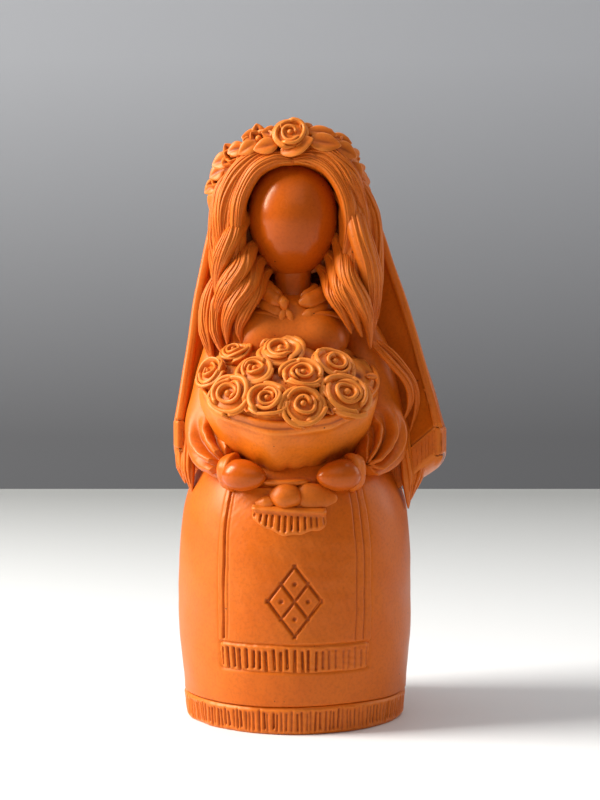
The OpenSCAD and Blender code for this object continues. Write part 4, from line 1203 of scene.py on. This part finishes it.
# ---- Bouquet filling ----
# Between the roses a low dome of clay shows, with small leaves pressed into it near the rim.
dome_h = 7
dome_r = rim_r - 0.6
dome_ball = (dome_r**2 + dome_h**2) / (2 * dome_h)


def dome_form(share, turn):
    r = dome_r * np.sin(share * math.pi)
    up = -np.cos(share * math.pi)
    z = np.where(up > 0, np.sqrt(np.maximum(dome_ball**2 - r**2, 0)) - dome_ball + dome_h, up * 6)
    points = np.stack([r * np.cos(turn), r * np.sin(turn), z + 1.2 * step(up, -0.1, 0.4) - 0.4], 1)
    points[:, 2] += 0.4 * uneven(points, 4, 140) * step(up, 0, 0.2)
    return in_bouquet(points)


def on_dome(x, y, rise=0.0):
    """A point of the dome of flowers, and the way straight out of it, for a place across the bouquet."""
    out = np.array([x, y, math.sqrt(dome_ball**2 - x * x - y * y)]) / dome_ball
    spot = out * (dome_ball + rise) + [0, 0, dome_h - dome_ball]
    return in_bouquet([spot])[0], in_bouquet([out])[0] - rim_at


bm = bmesh.new()
add_form(bm, 96, 64, dome_form)
for x, y, heading, size in (
    (-8.6, -16.2, -1.9, 3.4), (-3.2, -17.6, -1.3, 2.6), (9.0, -16.6, -1.2, 3.6), (8.2, -4.5, -2.2, 3.6),
    (-9.6, -1.5, 2.4, 3.2),
    (18.2, -2.5, -0.2, 3.4), (17.2, -7.5, -0.5, 3.4), (-1.5, -6.5, -1.2, 3.0), (1.0, 4.8, 1.1, 3.4),
    (6.6, 3.2, 0.6, 3.2),
):
    spot, out = on_dome(x, y, 0.7)
    ahead = on_dome(x + 0.5 * math.cos(heading), y + 0.5 * math.sin(heading))[0] - on_dome(x, y)[0]
    add_leaf(bm, spot, ahead / np.linalg.norm(ahead) + out * 0.45, out - ahead * 0.4, size, size * 0.42, 0.5, 0.3)
filling = finish_piece(bm, "bouquet_filling_dome", gypsum_flowers)
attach(filling, "root")
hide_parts("bouquet_filling")

# ---- Bouquet roses ----
# Ten roses sit side by side in the dome, the biggest along the front rim.
rose_petals = [4, 5, 5, 4, 4, 5, 5, 4, 5, 6]
rose_turns = [1.1, 1.3, 1.2, 1.0, 1.2, 1.3, 1.5, 1.4, 1.2, 1.9]
rose_growth = [1.14, 1.16, 1.16, 1.1, 1.18, 1.14, 1.22, 1.18, 1.18, 1.22]
for i in range(10):
    low, high = box_of(f"rose_{i + 1}")
    middle = (low + high) / 2
    ball_middle = in_bouquet([[0, 0, dome_h - dome_ball]])[0]
    out = (middle - ball_middle) / np.linalg.norm(middle - ball_middle)
    r = (high[0] - low[0]) / 2 * rose_growth[i]
    bm = bmesh.new()
    add_rose(bm, ball_middle + out * (dome_ball - 0.3), out, r, 4.3, 150 + i, rose_petals[i], rose_turns[i])
    piece = finish_piece(bm, f"bouquet_rose_{i + 1}", gypsum_flowers)
    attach(piece, "root")
    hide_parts(f"rose_{i + 1}")

# ---- Bouquet knot and ribbon ----
# Under the hands the wrap is tied off: a round knot with a small loop on each side, and below it a broad
# ribbon end that lies on the apron and is cut into a pointed fringe.
knot_low, knot_high = box_of("bouquet_knot")
knot_at = (knot_low + knot_high) / 2 + [-0.6, 0, -1.1]


def knot_form(share, turn):
    round_way = np.sin(share * math.pi)
    way = np.stack([-np.cos(share * math.pi), round_way * np.cos(turn), round_way * np.sin(turn)], 1)
    points = way * [4.0, 3.0, 3.2] * (1 + 0.05 * uneven(way * 3, 4, 160))[:, None]
    return points + knot_at + [0, 1.1, 0.1]


bm = bmesh.new()
add_form(bm, 56, 44, knot_form)
kx, ky, kz = knot_at
add_roll(
    bm, [(kx - 2.0, ky + 1.8, kz - 0.4), (kx - 4.4, ky + 1.2, kz - 1.2), (kx - 7.4, ky + 2.2, kz - 1.8)],
    1.6, 1.4, (0, -1, 0.2), 28, 30, 0.4,
)
add_roll(
    bm, [(kx + 1.6, ky + 1.6, kz + 0.4), (kx + 6.0, ky + 1.2, kz + 0.2), (kx + 12.6, ky + 3.0, kz - 0.6)],
    3.2, 1.2, (0, -1, 0.2), 28, 30, 0.35,
)
add_roll(
    bm, [(kx - 6, ky + 3.4, kz + 3.6), (kx, ky + 1.6, kz + 3.4), (kx + 6, ky + 3.4, kz + 3.6)],
    0.8, 1.4, (0, -1, 0.1), 24, 40, 0.15,
)
knot = finish_piece(bm, "bouquet_tied_knot", gypsum_trim)
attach(knot, "root")
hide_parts("bouquet_knot")

ribbon_low, ribbon_high = box_of("bouquet_ribbon")
tail_w = ribbon_high[0] - ribbon_low[0]
tail_x = (ribbon_low[0] + ribbon_high[0]) / 2
tail_cuts = 12
rng = np.random.default_rng(171)
tail_shift = rng.uniform(-0.1, 0.1, tail_cuts)


def ribbon_face(u, v, side):
    across = tail_x + (u - 0.5) * tail_w
    foot = ribbon_low[2] + 4.0 * np.abs(2 * u - 0.95) ** 1.5 * np.where(u > 0.5, 0.45, 1) + 0.2 * np.sin(u * 26)
    ledge = ribbon_high[2] - 1.9 - 0.8 * (u - 0.5)
    z = foot + (ledge + 0.8 - foot) * v
    lean = u * tail_cuts
    index = np.clip(np.floor(lean).astype(int), 0, tail_cuts - 1)
    away = np.abs(lean - index - 0.5 - tail_shift[index] + 0.12 * (z - ledge + 3) * (u - 0.6))
    span = step(z - foot, 0.5, 1.5) * step(ledge - 0.9 - z, 0, 0.7)
    cut = 0.55 * (1 - 0.45 * step(u, 0.6, 0.9)) * span * (1 - step(away, 0.0, 0.34))
    proud = 0.75 + 0.75 * bump(z, ledge, 1.0) - cut
    proud -= 0.75 * (1 - np.sqrt(np.clip((z - foot) / 0.9, 0, 1)))
    proud -= 0.75 * (1 - np.sqrt(np.clip(np.minimum(u, 1 - u) * tail_w / 1.1, 0, 1)))
    proud += 0.12 * uneven(on_skirt(across, z, 0), 3, 172)
    return on_skirt(across, z, proud if side else np.full(len(u), -0.3))


bm = bmesh.new()
add_plate(bm, tail_cuts * 12, 44, ribbon_face)
ribbon = finish_piece(bm, "bouquet_ribbon_end", gypsum_trim)
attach(ribbon, "root")
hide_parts("bouquet_ribbon")

# ---- Cuffs and hands ----
# The hands are plain ovals without fingers, laid against the foot of the bouquet, and each comes out of a
# thick turned cuff.
for side, name in ((-1, "left"), (1, "right")):
    hand_low, hand_high = box_of(f"hand_{name}")
    cuff_low, cuff_high = box_of(f"cuff_{name}")
    hand_at = (hand_low + hand_high) / 2
    cuff_at = (cuff_low + cuff_high) / 2
    reach = np.array([-side * 0.9, -0.42, -0.04])
    reach /= np.linalg.norm(reach)
    upward = np.array([0, 0, 1.0])
    aside = np.cross(reach, upward)
    aside /= np.linalg.norm(aside)
    lift = np.cross(aside, reach)

    def hand_form(share, turn, hand_at=hand_at, reach=reach, aside=aside, lift=lift):
        t = -np.cos(share * math.pi)
        r = np.sin(share * math.pi) * (1 - 0.16 * t)
        points = reach * (t * 5.7)[:, None] + aside * (r * np.cos(turn) * 4.0)[:, None]
        points = points + lift * (r * np.sin(turn) * 3.85)[:, None]
        return points + hand_at + reach * 0.2 + np.array([0, -0.2, -0.1])

    def cuff_form(share, turn, cuff_at=cuff_at, reach=reach, aside=aside, lift=lift):
        t = -np.cos(share * math.pi)
        r = np.sin(share * math.pi) ** 0.5 * (3.9 + 0.7 * step(t, -0.2, 0.7) + 0.3 * np.sin(3 * turn + 0.6))
        points = reach * (t * 2.3)[:, None] + aside * (r * np.cos(turn))[:, None]
        points = points + lift * (r * 1.12 * np.sin(turn))[:, None]
        return points + cuff_at + reach * 0.2

    bm = bmesh.new()
    add_form(bm, 64, 48, hand_form)
    piece = finish_piece(bm, f"smooth_hand_{name}", gypsum_skin)
    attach(piece, "root")
    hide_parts(f"hand_{name}")
    bm = bmesh.new()
    add_form(bm, 64, 40, cuff_form)
    piece = finish_piece(bm, f"turned_cuff_{name}", gypsum_trim)
    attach(piece, "root")
    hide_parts(f"cuff_{name}")

# ---- Floor, backdrop and light ----
# A pale table top that runs up into a grey wall, a window to the left, and pale daylight all round. Painted shade
# darkens the table top towards the back and the wall towards its foot.
for name, low, size, code, shaded_code in (
    ("floor", (-3, -1.5, -0.02), (6, 1.986, 0.02), "E6E6E5", "A6A6A3"),
    ("wall", (-3, 0.75, -0.5), (6, 0.05, 2.5), "9B9CA0", "68686A"),
):
    bm = bmesh.new()
    bmesh.ops.create_cube(bm, size=1)
    bmesh.ops.translate(bm, vec=(0.5, 0.5, 0.5), verts=bm.verts)
    bmesh.ops.scale(bm, vec=size, verts=bm.verts)
    bmesh.ops.translate(bm, vec=low, verts=bm.verts)
    bmesh.ops.bevel(bm, geom=bm.edges, offset=0.004, segments=2, profile=0.5, affect="EDGES", material=-1)
    mesh = bpy.data.meshes.new(name)
    bm.to_mesh(mesh)
    bm.free()
    matt = bpy.data.materials.new(f"matt_board_with_painted_shade_{name}")
    matt.use_nodes = True
    shader = matt.node_tree.nodes["Principled BSDF"]
    place = add_node(matt.node_tree, "ShaderNodeTexCoord")
    split = add_node(matt.node_tree, "ShaderNodeSeparateXYZ", Vector=place.outputs["Object"])
    # Painted shade: the floor's colour darkens towards the back, the wall's towards its foot
    ramp = add_node(matt.node_tree, "ShaderNodeValToRGB", Fac=split.outputs["Z" if name == "wall" else "Y"])
    ramp.color_ramp.elements[0].position = 0 if name == "wall" else 0.05
    ramp.color_ramp.elements[0].color = colour(shaded_code if name == "wall" else code)
    ramp.color_ramp.elements[1].position = 0.23 if name == "wall" else 0.46
    ramp.color_ramp.elements[1].color = colour(code if name == "wall" else shaded_code)
    matt.node_tree.links.new(ramp.outputs["Color"], shader.inputs["Base Color"])
    matt.node_tree.nodes["Principled BSDF"].inputs["Roughness"].default_value = 0.6
    mesh.materials.append(matt)
    board = bpy.data.objects.new(name, mesh)
    bpy.context.scene.collection.objects.link(board)

for name, spot, size, power, tint in (
    ("window", (-0.68, -0.08, 0.52), (0.34, 0.6), 14.5, (1.0, 0.99, 0.96)),
    ("front_fill", (0.1, -0.9, 0.9), (0.9, 0.9), 1.5, (1.0, 0.99, 0.96)),
    ("right_glow", (0.7, 0.2, 0.3), (0.3, 0.5), 1.2, (1.0, 0.97, 0.95)),
    ("wall_wash", (0.0, 0.1, 1.5), (1.5, 0.3), 6, (1.0, 1.0, 1.0)),
):
    light = bpy.data.lights.new(name, "AREA")
    light.shape = "RECTANGLE"
    light.size, light.size_y = size
    light.energy = power
    light.color = tint
    lamp = bpy.data.objects.new(name, light)
    lamp.location = spot
    target = Vector((0, 0.75, 0.3)) if name == "wall_wash" else Vector((0, 0, 0.085))
    lamp.rotation_euler = (Vector(spot) - target).to_track_quat("Z", "Y").to_euler()
    bpy.context.scene.collection.objects.link(lamp)
world = bpy.data.worlds.new("daylight")
world.use_nodes = True
world.node_tree.nodes["Background"].inputs["Color"].default_value = (0.85, 0.88, 0.92, 1)
world.node_tree.nodes["Background"].inputs["Strength"].default_value = 0.24
bpy.context.scene.world = world
bpy.context.scene.view_settings.view_transform = "Standard"
